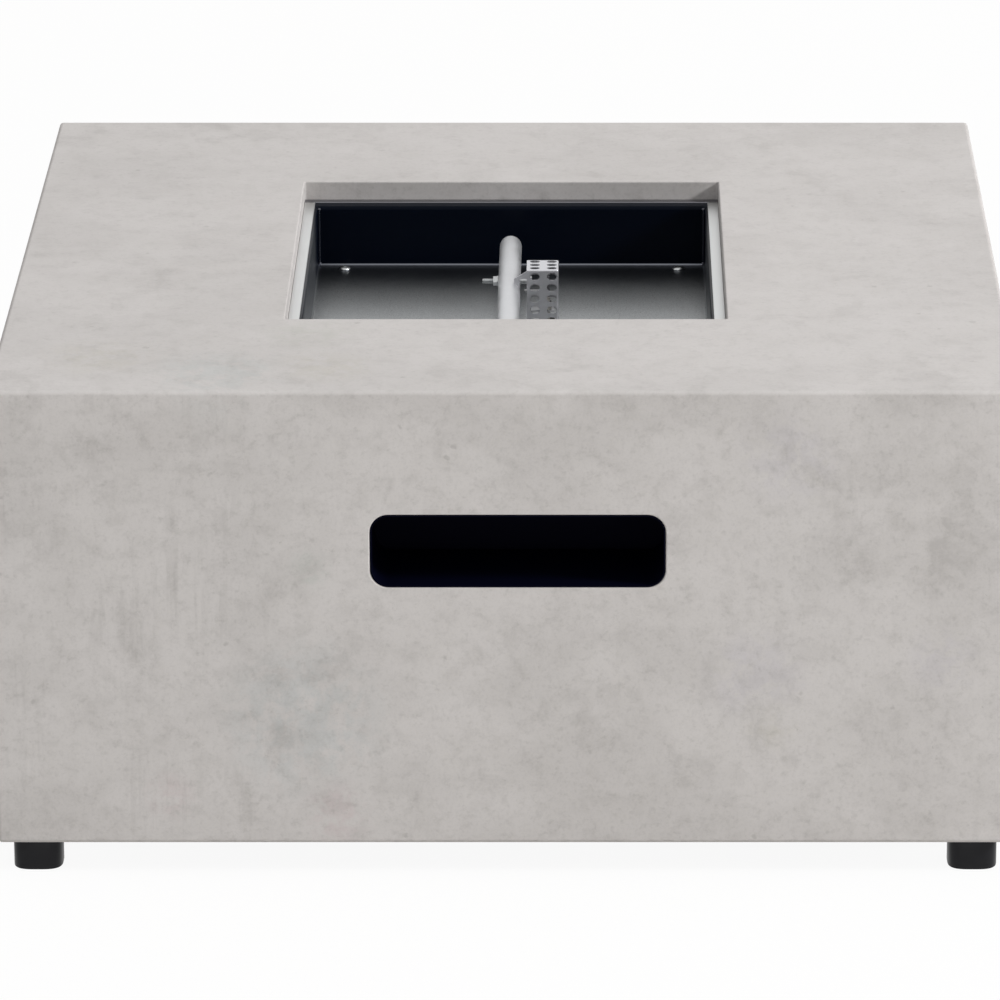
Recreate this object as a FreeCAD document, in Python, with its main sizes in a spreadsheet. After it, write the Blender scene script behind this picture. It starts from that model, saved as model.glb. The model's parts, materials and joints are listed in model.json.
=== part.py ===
"""Low square fire pit table: a cast concrete shell on levelling feet, with a gas burner in its top.

Millimetres, +Z up. The origin is on the floor under the middle of the table, and the face with the
visible slot looks along -Y. Every size that can be chosen by itself is one named cell of the sheet.
"""
import FreeCAD, Part
import math
import os

import Sketcher
from FreeCAD import Placement, Rotation, Vector

doc = FreeCAD.newDocument("fire_pit_table")
dims = doc.addObject("Spreadsheet::Sheet", "dims")


class Size:
    """A length that carries its number and the sheet formula that it comes from."""

    def __init__(self, number, formula):
        self.number = float(number)
        self.formula = formula

    def __add__(self, other):
        other = as_size(other)
        return Size(self.number + other.number, f"({self.formula} + {other.formula})")

    def __sub__(self, other):
        other = as_size(other)
        return Size(self.number - other.number, f"({self.formula} - {other.formula})")

    def __mul__(self, other):
        other = as_size(other)
        return Size(self.number * other.number, f"({self.formula} * {other.formula})")

    def __truediv__(self, other):
        other = as_size(other)
        return Size(self.number / other.number, f"({self.formula} / {other.formula})")

    def __radd__(self, other):
        return as_size(other) + self

    def __rsub__(self, other):
        return as_size(other) - self

    def __rmul__(self, other):
        return as_size(other) * self

    def __neg__(self):
        return as_size(0) - self


def as_size(amount):
    """A plain number as a Size, and a Size as it is."""
    return amount if isinstance(amount, Size) else Size(amount, f"({float(amount)!r})")


def size(name, number, note):
    """Write one driving dimension into the sheet and give it back as a Size."""
    size.row += 1
    dims.set(f"A{size.row}", name)
    dims.set(f"B{size.row}", str(number))
    dims.setAlias(f"B{size.row}", name)
    dims.set(f"C{size.row}", note)
    return Size(number, f"dims.{name}")


size.row = 0

# The shell
table_width = size("table_width", 914.4, "left to right")
table_depth = size("table_depth", 914.4, "front to rear")
shell_height = size("shell_height", 426.6, "underside to top face")
foot_gap = size("foot_gap", 30, "floor to the shell's underside")
wall = size("wall", 18, "side wall of the casting")
top_panel = size("top_panel", 22, "top of the casting")
edge_radius = size("edge_radius", 4, "outer edges of the casting")
mouth_radius = size("mouth_radius", 1.5, "edges of the openings in the casting")
cast_gap = size("cast_gap", 0.05, "round each insert that is cast in")

# The opening in the top
opening_width = size("opening_width", 404, "left to right")
opening_depth = size("opening_depth", 466, "front to rear")
lip_depth = size("lip_depth", 18, "top face to the trim frame")
collar_width = size("collar_width", 30, "thick band under the opening's edge")
collar_drop = size("collar_drop", 16, "how far that band hangs under the top panel")
opening_corner = size("opening_corner", 2, "corner radius of the opening")

# The slots in the front and rear walls
slot_width = size("slot_width", 263.4, "left to right")
slot_height = size("slot_height", 67.9, "bottom to top")
slot_corner = size("slot_corner", 16.5, "corner radius")
slot_drop = size("slot_drop", 114.8, "top face to the slot's upper edge")
slot_shift = size("slot_shift", 12.5, "slot's centre to the right of the middle")
slot_pocket = size("slot_pocket", 105, "depth of the lined pocket")

# The control recess in the right wall
recess_width = size("recess_width", 190, "front to rear")
recess_height = size("recess_height", 84, "bottom to top")
recess_depth = size("recess_depth", 48, "face to the back of the box")
knob_shift = size("knob_shift", -42, "knob's axis from the recess's middle")
button_shift = size("button_shift", 50, "igniter's axis from the recess's middle")

# Sheet metal liners
liner_sheet = size("liner_sheet", 1.2, "liners and control box")
liner_gap = size("liner_gap", 0.3, "between a liner and the casting")
liner_set_back = size("liner_set_back", 0.5, "face of the casting to the liner's rim")
liner_flange = size("liner_flange", 20, "flange behind the wall")
liner_screw_inset = size("liner_screw_inset", 10, "screw line beyond the mouth")
vent_width = size("vent_width", 20, "ventilation hole, long way")
vent_height = size("vent_height", 6, "ventilation hole, short way")
vent_pitch = size("vent_pitch", 30, "from one ventilation hole to the next")

# Burner pan and trim
ledge_across = size("ledge_across", 13.5, "opening's edge to the inside of the pan, left and right")
ledge_along = size("ledge_along", 21.25, "opening's edge to the inside of the pan, front and rear")
pan_floor_drop = size("pan_floor_drop", 79, "top face to the pan floor")
pan_sheet = size("pan_sheet", 1.2, "pan metal")
pan_corner = size("pan_corner", 3, "inside radius of the upright corners")
pan_bend = size("pan_bend", 2.5, "inside radius where floor meets wall")
pan_gap = size("pan_gap", 3, "between the pan and the ledge it drops through")
trim_sheet = size("trim_sheet", 1.5, "trim frame metal")
trim_gap = size("trim_gap", 1.5, "between the trim frame and the lip")
trim_overlap = size("trim_overlap", 0.7, "trim frame's inner edge over the pan's bend")
pan_screw_inset_across = size("pan_screw_inset_across", 25.5, "side wall to a floor screw")
pan_screw_inset_along = size("pan_screw_inset_along", 12.75, "end wall to a floor screw")

# Straps that carry the pan
strap_width = size("strap_width", 20, "flat bar")
strap_sheet = size("strap_sheet", 3, "flat bar thickness")
strap_clearance = size("strap_clearance", 5, "between a strap's leg and the collar")
strap_foot = size("strap_foot", 38, "length of each upper flange")
strap_nut_flats = size("strap_nut_flats", 8, "across flats")
strap_nut_height = size("strap_nut_height", 4, "nut under a strap")

# Burner tube
tube_radius = size("tube_radius", 10.65, "outside of the burner tube, 1/2 inch pipe")
tube_sheet = size("tube_sheet", 1.2, "tube wall")
tube_end_gap = size("tube_end_gap", 38, "tube's end to the pan wall")
tube_rise = size("tube_rise", 33, "pan floor to the tube's axis")
port_radius = size("port_radius", 1.25, "gas ports")
port_inset = size("port_inset", 34.75, "tube's end to the first port")
port_count = 23
port_tilt = 55
support_width = size("support_width", 16, "burner supports")
support_sheet = size("support_sheet", 2, "burner support metal")
support_foot = size("support_foot", 24, "burner support foot")
support_inset = size("support_inset", 55.75, "tube's end to a support")

# Inlet, mixer and orifice
nipple_radius = size("nipple_radius", 8.6, "outside of the inlet nipple, 3/8 inch pipe")
nipple_bore = size("nipple_bore", 6.3, "inside of the inlet nipple")
nipple_drop = size("nipple_drop", 46, "pan floor to the nipple's lower end")
locknut_flats = size("locknut_flats", 24, "across flats")
locknut_height = size("locknut_height", 6, "lock nut")
thread_gap = size("thread_gap", 0.05, "radial room in threads and running fits")
mixer_radius = size("mixer_radius", 14, "outside of the mixer")
mixer_length = size("mixer_length", 66, "mixer, top to bottom")
mixer_socket = size("mixer_socket", 20, "how far the nipple enters the mixer")
mixer_floor = size("mixer_floor", 6, "bottom wall of the mixer")
mixer_rim = size("mixer_rim", 3, "rim that the shutter stands on")
mixer_step = size("mixer_step", 1, "step from the nipple's bore to the mixer's chamber")
window_width = size("window_width", 13, "air window")
window_height = size("window_height", 20, "air window")
shutter_sheet = size("shutter_sheet", 1.5, "air shutter wall")
shutter_height = size("shutter_height", 30, "air shutter")
orifice_flats = size("orifice_flats", 19, "across flats of the orifice fitting")
orifice_hex = size("orifice_hex", 9, "hexagon height")
orifice_spud = size("orifice_spud", 12, "spud length inside the mixer")
spud_radius = size("spud_radius", 5.12, "orifice spud")
flare_radius = size("flare_radius", 7.94, "male flare thread, 5/8 inch")
flare_length = size("flare_length", 14, "male flare thread")
flare_bore = size("flare_bore", 3.2, "gas way in the fittings")
jet_radius = size("jet_radius", 0.8, "gas jet in the orifice")
flare_run_out = size("flare_run_out", 2, "male flare thread that stays outside its nut")

# Gas valve and knob
valve_width = size("valve_width", 30, "valve body, square")
valve_length = size("valve_length", 42, "valve body along the stem")
valve_gap = size("valve_gap", 3, "control box to the valve body")
boss_radius = size("boss_radius", 8, "threaded boss through the control box")
boss_reach = size("boss_reach", 4.4, "boss beyond the control box's back")
stem_radius = size("stem_radius", 3, "valve stem")
stem_flat = size("stem_flat", 1.8, "stem's axis to its flat")
stem_flat_length = size("stem_flat_length", 12, "flat on the stem")
stem_end_room = size("stem_end_room", 1, "pressed stem to the end of its bore")
plug_radius = size("plug_radius", 9, "valve plug")
plug_length = size("plug_length", 14, "valve plug")
plug_setback = size("plug_setback", 12, "valve face to the plug")
knob_radius = size("knob_radius", 17, "knob grip")
knob_skirt = size("knob_skirt", 22, "knob skirt radius")
knob_height = size("knob_height", 25, "knob")
knob_skirt_height = size("knob_skirt_height", 5, "knob skirt")
knob_lift = size("knob_lift", 6, "control box's back to the knob's skirt")
knob_travel = size("knob_travel", 4, "how far the knob pushes in")
knob_draft = size("knob_draft", 1.5, "taper of the grip and of the skirt")
knob_skirt_side = size("knob_skirt_side", 3.5, "straight side of the skirt")
knob_nut_room = size("knob_nut_room", 1, "panel nut's corners to the knob's bore")
knob_wall = size("knob_wall", 6, "stem's end to the knob's outer face")
flute_centre = size("flute_centre", 19, "knob's axis to the middle of a flute")
flute_radius = size("flute_radius", 3.4, "flute in the grip")
flute_count = 12
pointer_width = size("pointer_width", 2, "pointer groove")
pointer_start = size("pointer_start", 6, "knob's axis to the pointer")
pointer_end = size("pointer_end", 14.5, "knob's axis to the pointer's outer end")
pointer_depth = size("pointer_depth", 0.8, "pointer groove")
valve_spring_room = size("valve_spring_room", 6, "valve face to the foot of the valve spring")
valve_spring_radius = size("valve_spring_radius", 4.3, "coil, to the middle of the wire")
valve_spring_wire = size("valve_spring_wire", 0.35, "wire radius")
stem_collar = size("stem_collar", 5.2, "radius of the collar that the spring pushes")
stem_collar_height = size("stem_collar_height", 1.6, "collar on the stem")
stem_collar_drop = size("stem_collar_drop", 2.4, "boss end to the collar at rest")
panel_nut_flats = size("panel_nut_flats", 22, "across flats")
panel_nut_height = size("panel_nut_height", 3.2, "panel nut of the valve")

# Igniter
igniter_radius = size("igniter_radius", 9, "igniter body")
igniter_length = size("igniter_length", 62, "igniter body behind the panel")
bezel_radius = size("bezel_radius", 12.5, "igniter bezel")
bezel_height = size("bezel_height", 3, "igniter bezel")
bezel_slope = size("bezel_slope", 1, "how far the bezel tapers in")
button_radius = size("button_radius", 7.2, "igniter button")
button_height = size("button_height", 8, "button above the bezel")
button_stem = size("button_stem", 18, "button inside the igniter")
button_travel = size("button_travel", 6, "how far the button pushes in")
button_crown = size("button_crown", 1.2, "rounding of the button's edge")
button_dish = size("button_dish", 0.6, "hollow in the button's face")
button_spring_room = size("button_spring_room", 7, "pressed button to the foot of its spring")
button_spring_radius = size("button_spring_radius", 5.4, "coil, to the middle of the wire")
button_spring_wire = size("button_spring_wire", 0.45, "wire radius")
spring_turns = 6
igniter_nut_flats = size("igniter_nut_flats", 24, "across flats")
igniter_nut_height = size("igniter_nut_height", 5, "igniter nut")
terminal_radius = size("terminal_radius", 1.5, "igniter terminal")
terminal_length = size("terminal_length", 8, "igniter terminal")

# Ignition guard
guard_sheet = size("guard_sheet", 1.2, "guard metal")
guard_width = size("guard_width", 30.2, "left to right")
guard_depth = size("guard_depth", 34, "front to rear")
guard_height = size("guard_height", 56, "above the pan floor")
guard_from_tube = size("guard_from_tube", 16.8, "tube's axis to the guard's left edge")
guard_front = size("guard_front", 4.5, "inlet's axis to the guard's front plate")
guard_hole_width = size("guard_hole_width", 9.4, "long way")
guard_hole_height = size("guard_hole_height", 7.2, "short way")
guard_hole_across = size("guard_hole_across", 16.1, "column to column")
guard_hole_down = size("guard_hole_down", 11, "row to row")
guard_hole_top = size("guard_hole_top", 6.6, "top edge to the first row")
guard_bend = size("guard_bend", 1.6, "outer radius of the guard's folds")
guard_ear_rise = size("guard_ear_rise", 3.5, "tube's top to the ear's upper corner")
guard_ear_reach = size("guard_ear_reach", 12, "guard's left edge to the ear's tip")
guard_ear_low = size("guard_ear_low", 5.5, "tube's axis to the ear's lower edge")
guard_notch_side = size("guard_notch_side", 10, "tube's axis to the notch behind the ear")
guard_notch_drop = size("guard_notch_drop", 9, "guard's top to the notch")
guard_saddle_gap = size("guard_saddle_gap", 0.1, "ear round the tube")
guard_rows = 5
guard_tab = size("guard_tab", 14, "tab behind the guard, along the tube")
guard_tab_height = size("guard_tab_height", 16, "tab behind the guard")
guard_bolt_radius = size("guard_bolt_radius", 2.5, "cross bolt")
guard_bolt_flats = size("guard_bolt_flats", 8, "across flats of head and nut")
guard_bolt_head = size("guard_bolt_head", 3.5, "head height")
guard_bolt_tail = size("guard_bolt_tail", 15, "bolt beyond the tube's left side")
guard_nut_height = size("guard_nut_height", 4, "cross bolt nut")
washer_radius = size("washer_radius", 5, "cross bolt washer")
washer_sheet = size("washer_sheet", 1, "cross bolt washer")

# Electrode and thermocouple, inside the guard
probe_inset = size("probe_inset", 10, "guard's right side to both probes")
probe_spacing = size("probe_spacing", 15, "electrode to thermocouple")
bracket_sheet = size("bracket_sheet", 1.5, "probe bracket")
bracket_rise = size("bracket_rise", 15, "pan floor to the bracket's shelf")
bracket_width = size("bracket_width", 14, "probe bracket")
bracket_end = size("bracket_end", 10.5, "both ends of the bracket beyond the probes, added up")
bracket_leg_room = size("bracket_leg_room", 0.5, "bracket's leg to a grommet's rim")
insulator_radius = size("insulator_radius", 3, "ceramic insulator")
insulator_collar = size("insulator_collar", 4.5, "insulator collar radius")
insulator_collar_side = size("insulator_collar_side", 3, "straight side of the collar")
insulator_collar_slope = size("insulator_collar_slope", 1.5, "sloped top of the collar")
insulator_top = size("insulator_top", 26, "pan floor to the insulator's top")
insulator_foot = size("insulator_foot", 5, "pan floor to the insulator's foot")
rod_radius = size("rod_radius", 1, "electrode rod")
spark_gap = size("spark_gap", 4, "electrode tip to the burner tube")
thermocouple_radius = size("thermocouple_radius", 2.6, "thermocouple")
thermocouple_top = size("thermocouple_top", 46, "pan floor to the thermocouple's tip")
lead_radius = size("lead_radius", 1.2, "thermocouple lead")
wire_radius = size("wire_radius", 2, "ignition wire")
grommet_radius = size("grommet_radius", 6, "hole for a grommet")
grommet_rim = size("grommet_rim", 1.5, "grommet rim beyond its hole")

# Levelling feet
foot_inset = size("foot_inset", 34.2, "outer face to a foot's axis")
foot_radius = size("foot_radius", 22.25, "foot pad")
foot_clear = size("foot_clear", 0.3, "foot pad to the shell's underside")
foot_crown = size("foot_crown", 2.2, "rounding of the pad's lower edge")
rib_radius = size("rib_radius", 0.8, "groove between two ribs of the pad")
rib_count = 36
stud_radius = size("stud_radius", 5, "foot stud")
stud_socket = size("stud_socket", 9, "stud inside the pad")
stud_spare = size("stud_spare", 6, "stud above its nut when the foot is right out")
stud_end_room = size("stud_end_room", 1, "over the stud's end in the casting")
stud_flats = size("stud_flats", 15, "across flats of the stud's collar")
foot_travel = size("foot_travel", 12, "how far a foot screws out")
gusset_size = size("gusset_size", 90, "corner block of the casting, each way")
gusset_set_up = size("gusset_set_up", 6, "shell's underside to the corner block")
gusset_height = size("gusset_height", 46, "corner block")
gusset_cut = size("gusset_cut", 42, "cut corner of the block")
plate_sheet = size("plate_sheet", 4, "foot plate")
plate_margin = size("plate_margin", 3, "corner block's edge to the foot plate")
plate_bolt_inset = size("plate_bolt_inset", 14, "plate's edge to a bolt")
plate_bolt_reach = size("plate_bolt_reach", 74, "wall to the far bolt")
plate_bolt_middle = size("plate_bolt_middle", 55, "wall to the middle bolt, each way")
plate_nut_flats = size("plate_nut_flats", 17, "weld nut")
plate_nut_height = size("plate_nut_height", 8, "weld nut")
nut_pocket = size("nut_pocket", 12, "radius of the room round nut and stud")

# Fasteners
screw_radius = size("screw_radius", 2.5, "small screws")
screw_length = size("screw_length", 11, "small screws")
screw_head = size("screw_head", 4.75, "small screw head radius")
screw_head_height = size("screw_head_height", 3, "small screw head")
screw_head_side = size("screw_head_side", 1.2, "straight side of a small screw head")
screw_head_slope = size("screw_head_slope", 1.35, "how far a small screw head narrows to its top")
screw_hex = size("screw_hex", 3, "key hole in a small screw")
pan_screw_radius = size("pan_screw_radius", 1.75, "screws in the pan's floor")
pan_screw_head = size("pan_screw_head", 4.75, "wide head radius of a screw in the pan's floor")
pan_screw_room = size("pan_screw_room", 0.2, "radial room round a screw in the pan's floor")
screw_hex_depth = size("screw_hex_depth", 1.8, "key hole in a small screw")
bolt_radius = size("bolt_radius", 3, "hanger and plate bolts")
bolt_length = size("bolt_length", 16, "hanger and plate bolts")
bolt_flats = size("bolt_flats", 10, "across flats")
bolt_head = size("bolt_head", 4, "bolt head height")
bolt_flange = size("bolt_flange", 7, "radius of the flange under the head")
bolt_flange_height = size("bolt_flange_height", 1.2, "flange under the head")
hole_room = size("hole_room", 0.25, "radial room round a screw in sheet metal")
insert_wall = size("insert_wall", 1.8, "wall of a threaded insert")
small_insert_length = size("small_insert_length", 12, "insert for a small screw")
large_insert_length = size("large_insert_length", 15, "insert for a bolt")

# Heights and half sizes that several pieces share
half_width = table_width / 2
half_depth = table_depth / 2
top_face = foot_gap + shell_height
panel_underside = top_face - top_panel
collar_underside = panel_underside - collar_drop
trim_top = top_face - lip_depth
flange_top = trim_top - trim_sheet
ledge = flange_top - pan_sheet
pan_floor = top_face - pan_floor_drop
pan_under = pan_floor - pan_sheet
flange_bend = pan_bend + pan_sheet
slot_middle = top_face - slot_drop - slot_height / 2
tube_axis = pan_floor + tube_rise
pan_width = opening_width - ledge_across * 2
pan_depth = opening_depth - ledge_along * 2
tube_half = pan_depth / 2 - tube_end_gap
port_span = (tube_half - port_inset) * 2
support_shift = tube_half - support_inset
strap_line = pan_depth / 2 - pan_screw_inset_along
pan_screw_x = pan_width / 2 - pan_screw_inset_across
pan_out_x = pan_width / 2 + pan_sheet
pan_out_y = pan_depth / 2 + pan_sheet
trim_out_x = opening_width / 2 - trim_gap
trim_out_y = opening_depth / 2 - trim_gap
trim_in_x = pan_width / 2 + flange_bend - trim_overlap
trim_in_y = pan_depth / 2 + flange_bend - trim_overlap
collar_out_x = opening_width / 2 + collar_width
collar_out_y = opening_depth / 2 + collar_width
foot_x = half_width - foot_inset
foot_y = half_depth - foot_inset
gusset_under = foot_gap + gusset_set_up
plate_under = gusset_under - plate_sheet
stud_reach = plate_nut_height + foot_travel + stud_spare
small_insert_radius = screw_radius + insert_wall
large_insert_radius = bolt_radius + insert_wall


def bind(item, setting, amount):
    """Give a setting its number, and tie it to the sheet where it comes from there."""
    amount = as_size(amount)
    if "." not in setting and "[" not in setting:
        setattr(item, setting, amount.number)
    if "dims." in amount.formula:
        item.setExpression(setting, amount.formula)


def place(item, x=0, y=0, z=0, turn=None):
    """Put an object at a point, with the point's sizes tied to the sheet."""
    spot = [as_size(x), as_size(y), as_size(z)]
    item.Placement = Placement(Vector(*[part.number for part in spot]), turn or Rotation())
    for axis_name, part in zip("xyz", spot):
        bind(item, f"Placement.Base.{axis_name}", part)
    return item


# Sketches and part design features

def new_body(name):
    return doc.addObject("PartDesign::Body", name)


def new_sketch(body, name, plane, offset=0, tilt=None):
    """A sketch on one of the body's own origin planes, moved along that plane's normal."""
    sketch = body.newObject("Sketcher::SketchObject", name)
    origin_plane = [item for item in body.Origin.OriginFeatures if item.Role == plane][0]
    sketch.AttachmentSupport = [(origin_plane, "")]
    sketch.MapMode = "FlatFace"
    offset = as_size(offset)
    sketch.AttachmentOffset = Placement(Vector(0, 0, offset.number), tilt or Rotation())
    bind(sketch, "AttachmentOffset.Base.z", offset)
    return sketch


def pin(sketch, shape_index, point_index, x, y):
    """Tie one point of a sketch to its distances from the sketch's origin."""
    for kind, amount in (("DistanceX", as_size(x)), ("DistanceY", as_size(y))):
        number = sketch.addConstraint(
            Sketcher.Constraint(kind, -1, 1, shape_index, point_index, amount.number))
        bind(sketch, f"Constraints[{number}]", amount)


def hold_radius(sketch, shape_index, radius):
    number = sketch.addConstraint(Sketcher.Constraint("Radius", shape_index, radius.number))
    bind(sketch, f"Constraints[{number}]", radius)


def polygon(sketch, points):
    """A closed outline of straight lines."""
    points = [(as_size(x), as_size(y)) for x, y in points]
    first = sketch.GeometryCount
    count = len(points)
    for index, (x, y) in enumerate(points):
        next_x, next_y = points[(index + 1) % count]
        sketch.addGeometry(Part.LineSegment(Vector(x.number, y.number, 0),
                                            Vector(next_x.number, next_y.number, 0)))
    for index, (x, y) in enumerate(points):
        sketch.addConstraint(Sketcher.Constraint(
            "Coincident", first + index - 1 if index else first + count - 1, 2, first + index, 1))
        pin(sketch, first + index, 1, x, y)


def rectangle(sketch, left, right, bottom, top):
    polygon(sketch, [(left, bottom), (right, bottom), (right, top), (left, top)])


def hexagon(sketch, across_flats):
    corner = across_flats / math.sqrt(3)
    polygon(sketch, [(corner * math.cos(math.radians(60 * step)),
                      corner * math.sin(math.radians(60 * step))) for step in range(6)])


def circle(sketch, x, y, radius):
    x, y, radius = as_size(x), as_size(y), as_size(radius)
    index = sketch.addGeometry(
        Part.Circle(Vector(x.number, y.number, 0), Vector(0, 0, 1), radius.number))
    pin(sketch, index, 3, x, y)
    hold_radius(sketch, index, radius)


def round_outline(sketch, centres, radius):
    """A closed outline of arcs about the given centres, anticlockwise, joined by tangent lines."""
    centres = [(as_size(x), as_size(y)) for x, y in centres]
    radius = as_size(radius)
    count = len(centres)
    headings = []
    for index, (x, y) in enumerate(centres):
        next_x, next_y = centres[(index + 1) % count]
        headings.append(math.atan2(next_y.number - y.number, next_x.number - x.number))
    indices = []
    for index, (x, y) in enumerate(centres):
        start = headings[index - 1] - math.pi / 2
        end = headings[index] - math.pi / 2
        while end <= start:
            end += 2 * math.pi
        arc = Part.ArcOfCircle(
            Part.Circle(Vector(x.number, y.number, 0), Vector(0, 0, 1), radius.number), start, end)
        indices.append(sketch.addGeometry(arc))
        next_x, next_y = centres[(index + 1) % count]
        aside = Vector(math.cos(end), math.sin(end), 0) * radius.number
        indices.append(sketch.addGeometry(Part.LineSegment(
            Vector(x.number, y.number, 0) + aside, Vector(next_x.number, next_y.number, 0) + aside)))
    for step, index in enumerate(indices):
        sketch.addConstraint(
            Sketcher.Constraint("Tangent", index, 2, indices[(step + 1) % len(indices)], 1))
    for (x, y), index in zip(centres, indices[::2]):
        pin(sketch, index, 3, x, y)
        hold_radius(sketch, index, radius)


def round_rectangle(sketch, left, right, bottom, top, radius):
    round_outline(sketch, [(right - radius, bottom + radius), (right - radius, top - radius),
                           (left + radius, top - radius), (left + radius, bottom + radius)], radius)


def obround(sketch, x, y, long_way, short_way):
    """A slot with round ends, its long way along the sketch's first axis."""
    reach = (long_way - short_way) / 2
    round_outline(sketch, [(x - reach, y), (x + reach, y)], short_way / 2)


def pad(body, name, sketch, length, flip=False, both_ways=False):
    feature = body.newObject("PartDesign::Pad", name)
    feature.Profile = sketch
    feature.Reversed = flip
    if both_ways:
        feature.SideType = "Symmetric"
    bind(feature, "Length", length)
    doc.recompute()
    return feature


def cut_feature(body, kind, name, sketch, settings):
    """A pocket or groove, with a test that it takes something away."""
    before = body.Shape.Volume
    feature = body.newObject(kind, name)
    feature.Profile = sketch
    settings(feature)
    doc.recompute()
    if body.Shape.Volume > before - 1e-6:
        raise RuntimeError(f"{name} cuts nothing")
    return feature


def pocket(body, name, sketch, length=None, flip=False, both_ways=False):
    """A pocket that goes against the sketch's normal, or along it when flipped."""
    def settings(feature):
        feature.Reversed = flip
        if both_ways:
            feature.SideType = "Symmetric"
        if length is None:
            feature.Type = "ThroughAll"
        else:
            bind(feature, "Length", length)
    return cut_feature(body, "PartDesign::Pocket", name, sketch, settings)


def spin(body, name, sketch, axis="V_Axis"):
    feature = body.newObject("PartDesign::Revolution", name)
    feature.Profile = sketch
    feature.ReferenceAxis = (sketch, [axis])
    feature.Angle = 360
    doc.recompute()
    return feature


def turned(body, name, points, plane="XZ_Plane"):
    """A turned solid: a closed profile of radius and height points, spun about the upright axis."""
    sketch = new_sketch(body, name + "_profile", plane)
    polygon(sketch, points)
    return spin(body, name, sketch)


def round_edges(body, name, radius, wanted):
    """Fillet the edges of the body that the test wants."""
    base = body.Tip
    names = [f"Edge{number}" for number, edge in enumerate(base.Shape.Edges, 1)
             if wanted(edge.BoundBox, edge)]
    if not names:
        raise RuntimeError(f"{name} finds no edge")
    feature = body.newObject("PartDesign::Fillet", name)
    feature.Base = (base, names)
    bind(feature, "Radius", radius)
    doc.recompute()
    return feature


def near(first, second, tolerance=0.01):
    return abs(first - second) < tolerance


# Primitives and booleans

def cylinder(name, radius, height, x=0, y=0, z=0, turn=None):
    item = doc.addObject("Part::Cylinder", name)
    bind(item, "Radius", radius)
    bind(item, "Height", height)
    return place(item, x, y, z, turn)


def hex_prism(name, across_flats, height, x=0, y=0, z=0, turn=None):
    item = doc.addObject("Part::Prism", name)
    item.Polygon = 6
    bind(item, "Circumradius", across_flats / math.sqrt(3))
    bind(item, "Height", height)
    return place(item, x, y, z, turn)


def join(name, pieces):
    item = doc.addObject("Part::MultiFuse", name)
    item.Shapes = pieces
    item.Refine = True
    return item


def take(name, base, tool):
    item = doc.addObject("Part::Cut", name)
    item.Base = base
    item.Tool = tool
    return item


# Where pieces face: local +Z looks out of the wall, local +Y is up

def facing(degrees):
    """0 faces the front, 90 the right, 180 the rear."""
    return Rotation(Vector(0, 0, 1), degrees) * Rotation(Vector(1, 0, 0), 90)


up = Rotation()
down = Rotation(Vector(1, 0, 0), 180)


def at_face(degrees, across, height, inward):
    """A point on a wall: across as seen from outside, height over the floor, depth from the face."""
    if degrees == 0:
        return across, inward - half_depth, height
    if degrees == 90:
        return half_width - inward, across, height
    return -as_size(across), half_depth - inward, height


def in_line(first, last, count):
    """Evenly spaced steps from first to last."""
    return [first + (last - first) * (step / (count - 1)) for step in range(count)]


# Fasteners that repeat: one master each, linked wherever it is used

def make_screw(name, radius, head):
    body = new_body(name + "_master")
    turned(body, name + "_turned", [
        (0, -screw_length), (radius, -screw_length), (radius, 0), (head, 0),
        (head, screw_head_side), (head - screw_head_slope, screw_head_height),
        (0, screw_head_height)])
    key = new_sketch(body, name + "_key", "XY_Plane", screw_head_height)
    hexagon(key, screw_hex)
    pocket(body, name + "_key_hole", key, screw_hex_depth)
    return body


def make_bolt():
    head = hex_prism("bolt_head_block", bolt_flats, bolt_head)
    flange = cylinder("bolt_flange_disc", bolt_flange, bolt_flange_height)
    shank = cylinder("bolt_shank", bolt_radius, bolt_length, z=-bolt_length)
    return join("bolt_master", [head, flange, shank])


def make_insert(name, radius, length, bore):
    """A threaded insert whose mouth is at its own origin and whose body goes down."""
    outer = cylinder(name + "_outer", radius, length, z=-length)
    inner = cylinder(name + "_bore", bore + thread_gap, length, z=-length)
    return take(name + "_master", outer, inner)


def linked_group(label, master, spots):
    """Copies of one master at each spot, kept together as separate solids of one node."""
    links = []
    for number, (x, y, z, turn) in enumerate(spots, 1):
        link = doc.addObject("App::Link", f"{label}_{number}")
        link.LinkedObject = master
        links.append(place(link, x, y, z, turn))
    group = doc.addObject("Part::Compound", label)
    group.Links = links
    return group


wall_screw = make_screw("wall_screw", screw_radius, screw_head)
pan_screw = make_screw("pan_screw", pan_screw_radius, pan_screw_head)
bolt = make_bolt()
small_insert = make_insert("small_insert", small_insert_radius, small_insert_length, screw_radius)
large_insert = make_insert("large_insert", large_insert_radius, large_insert_length, bolt_radius)

corners = [("front_left", -1, -1), ("front_right", 1, -1), ("rear_right", 1, 1), ("rear_left", -1, 1)]


def slot_screw_spots():
    """Six screws round a slot: three over it and three under it, in face coordinates."""
    row = slot_height / 2 + liner_screw_inset
    columns = in_line(-slot_width / 2 + slot_corner * 2, slot_width / 2 - slot_corner * 2, 3)
    return [(column, side * row) for side in (-1, 1) for column in columns]


def recess_screw_spots():
    """Four screws round the control recess, in face coordinates."""
    return [(across * (recess_width / 2 + liner_screw_inset), up_down * recess_height / 4)
            for across in (-1, 1) for up_down in (-1, 1)]


def plate_bolt_spots():
    """Three bolts of a foot plate, as distances from the two walls that meet in the corner."""
    return [(plate_bolt_reach, plate_bolt_inset), (plate_bolt_inset, plate_bolt_reach),
            (plate_bolt_middle, plate_bolt_middle)]


def hanger_x():
    return collar_out_x + strap_clearance + strap_sheet + strap_foot / 2


# The casting

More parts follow.
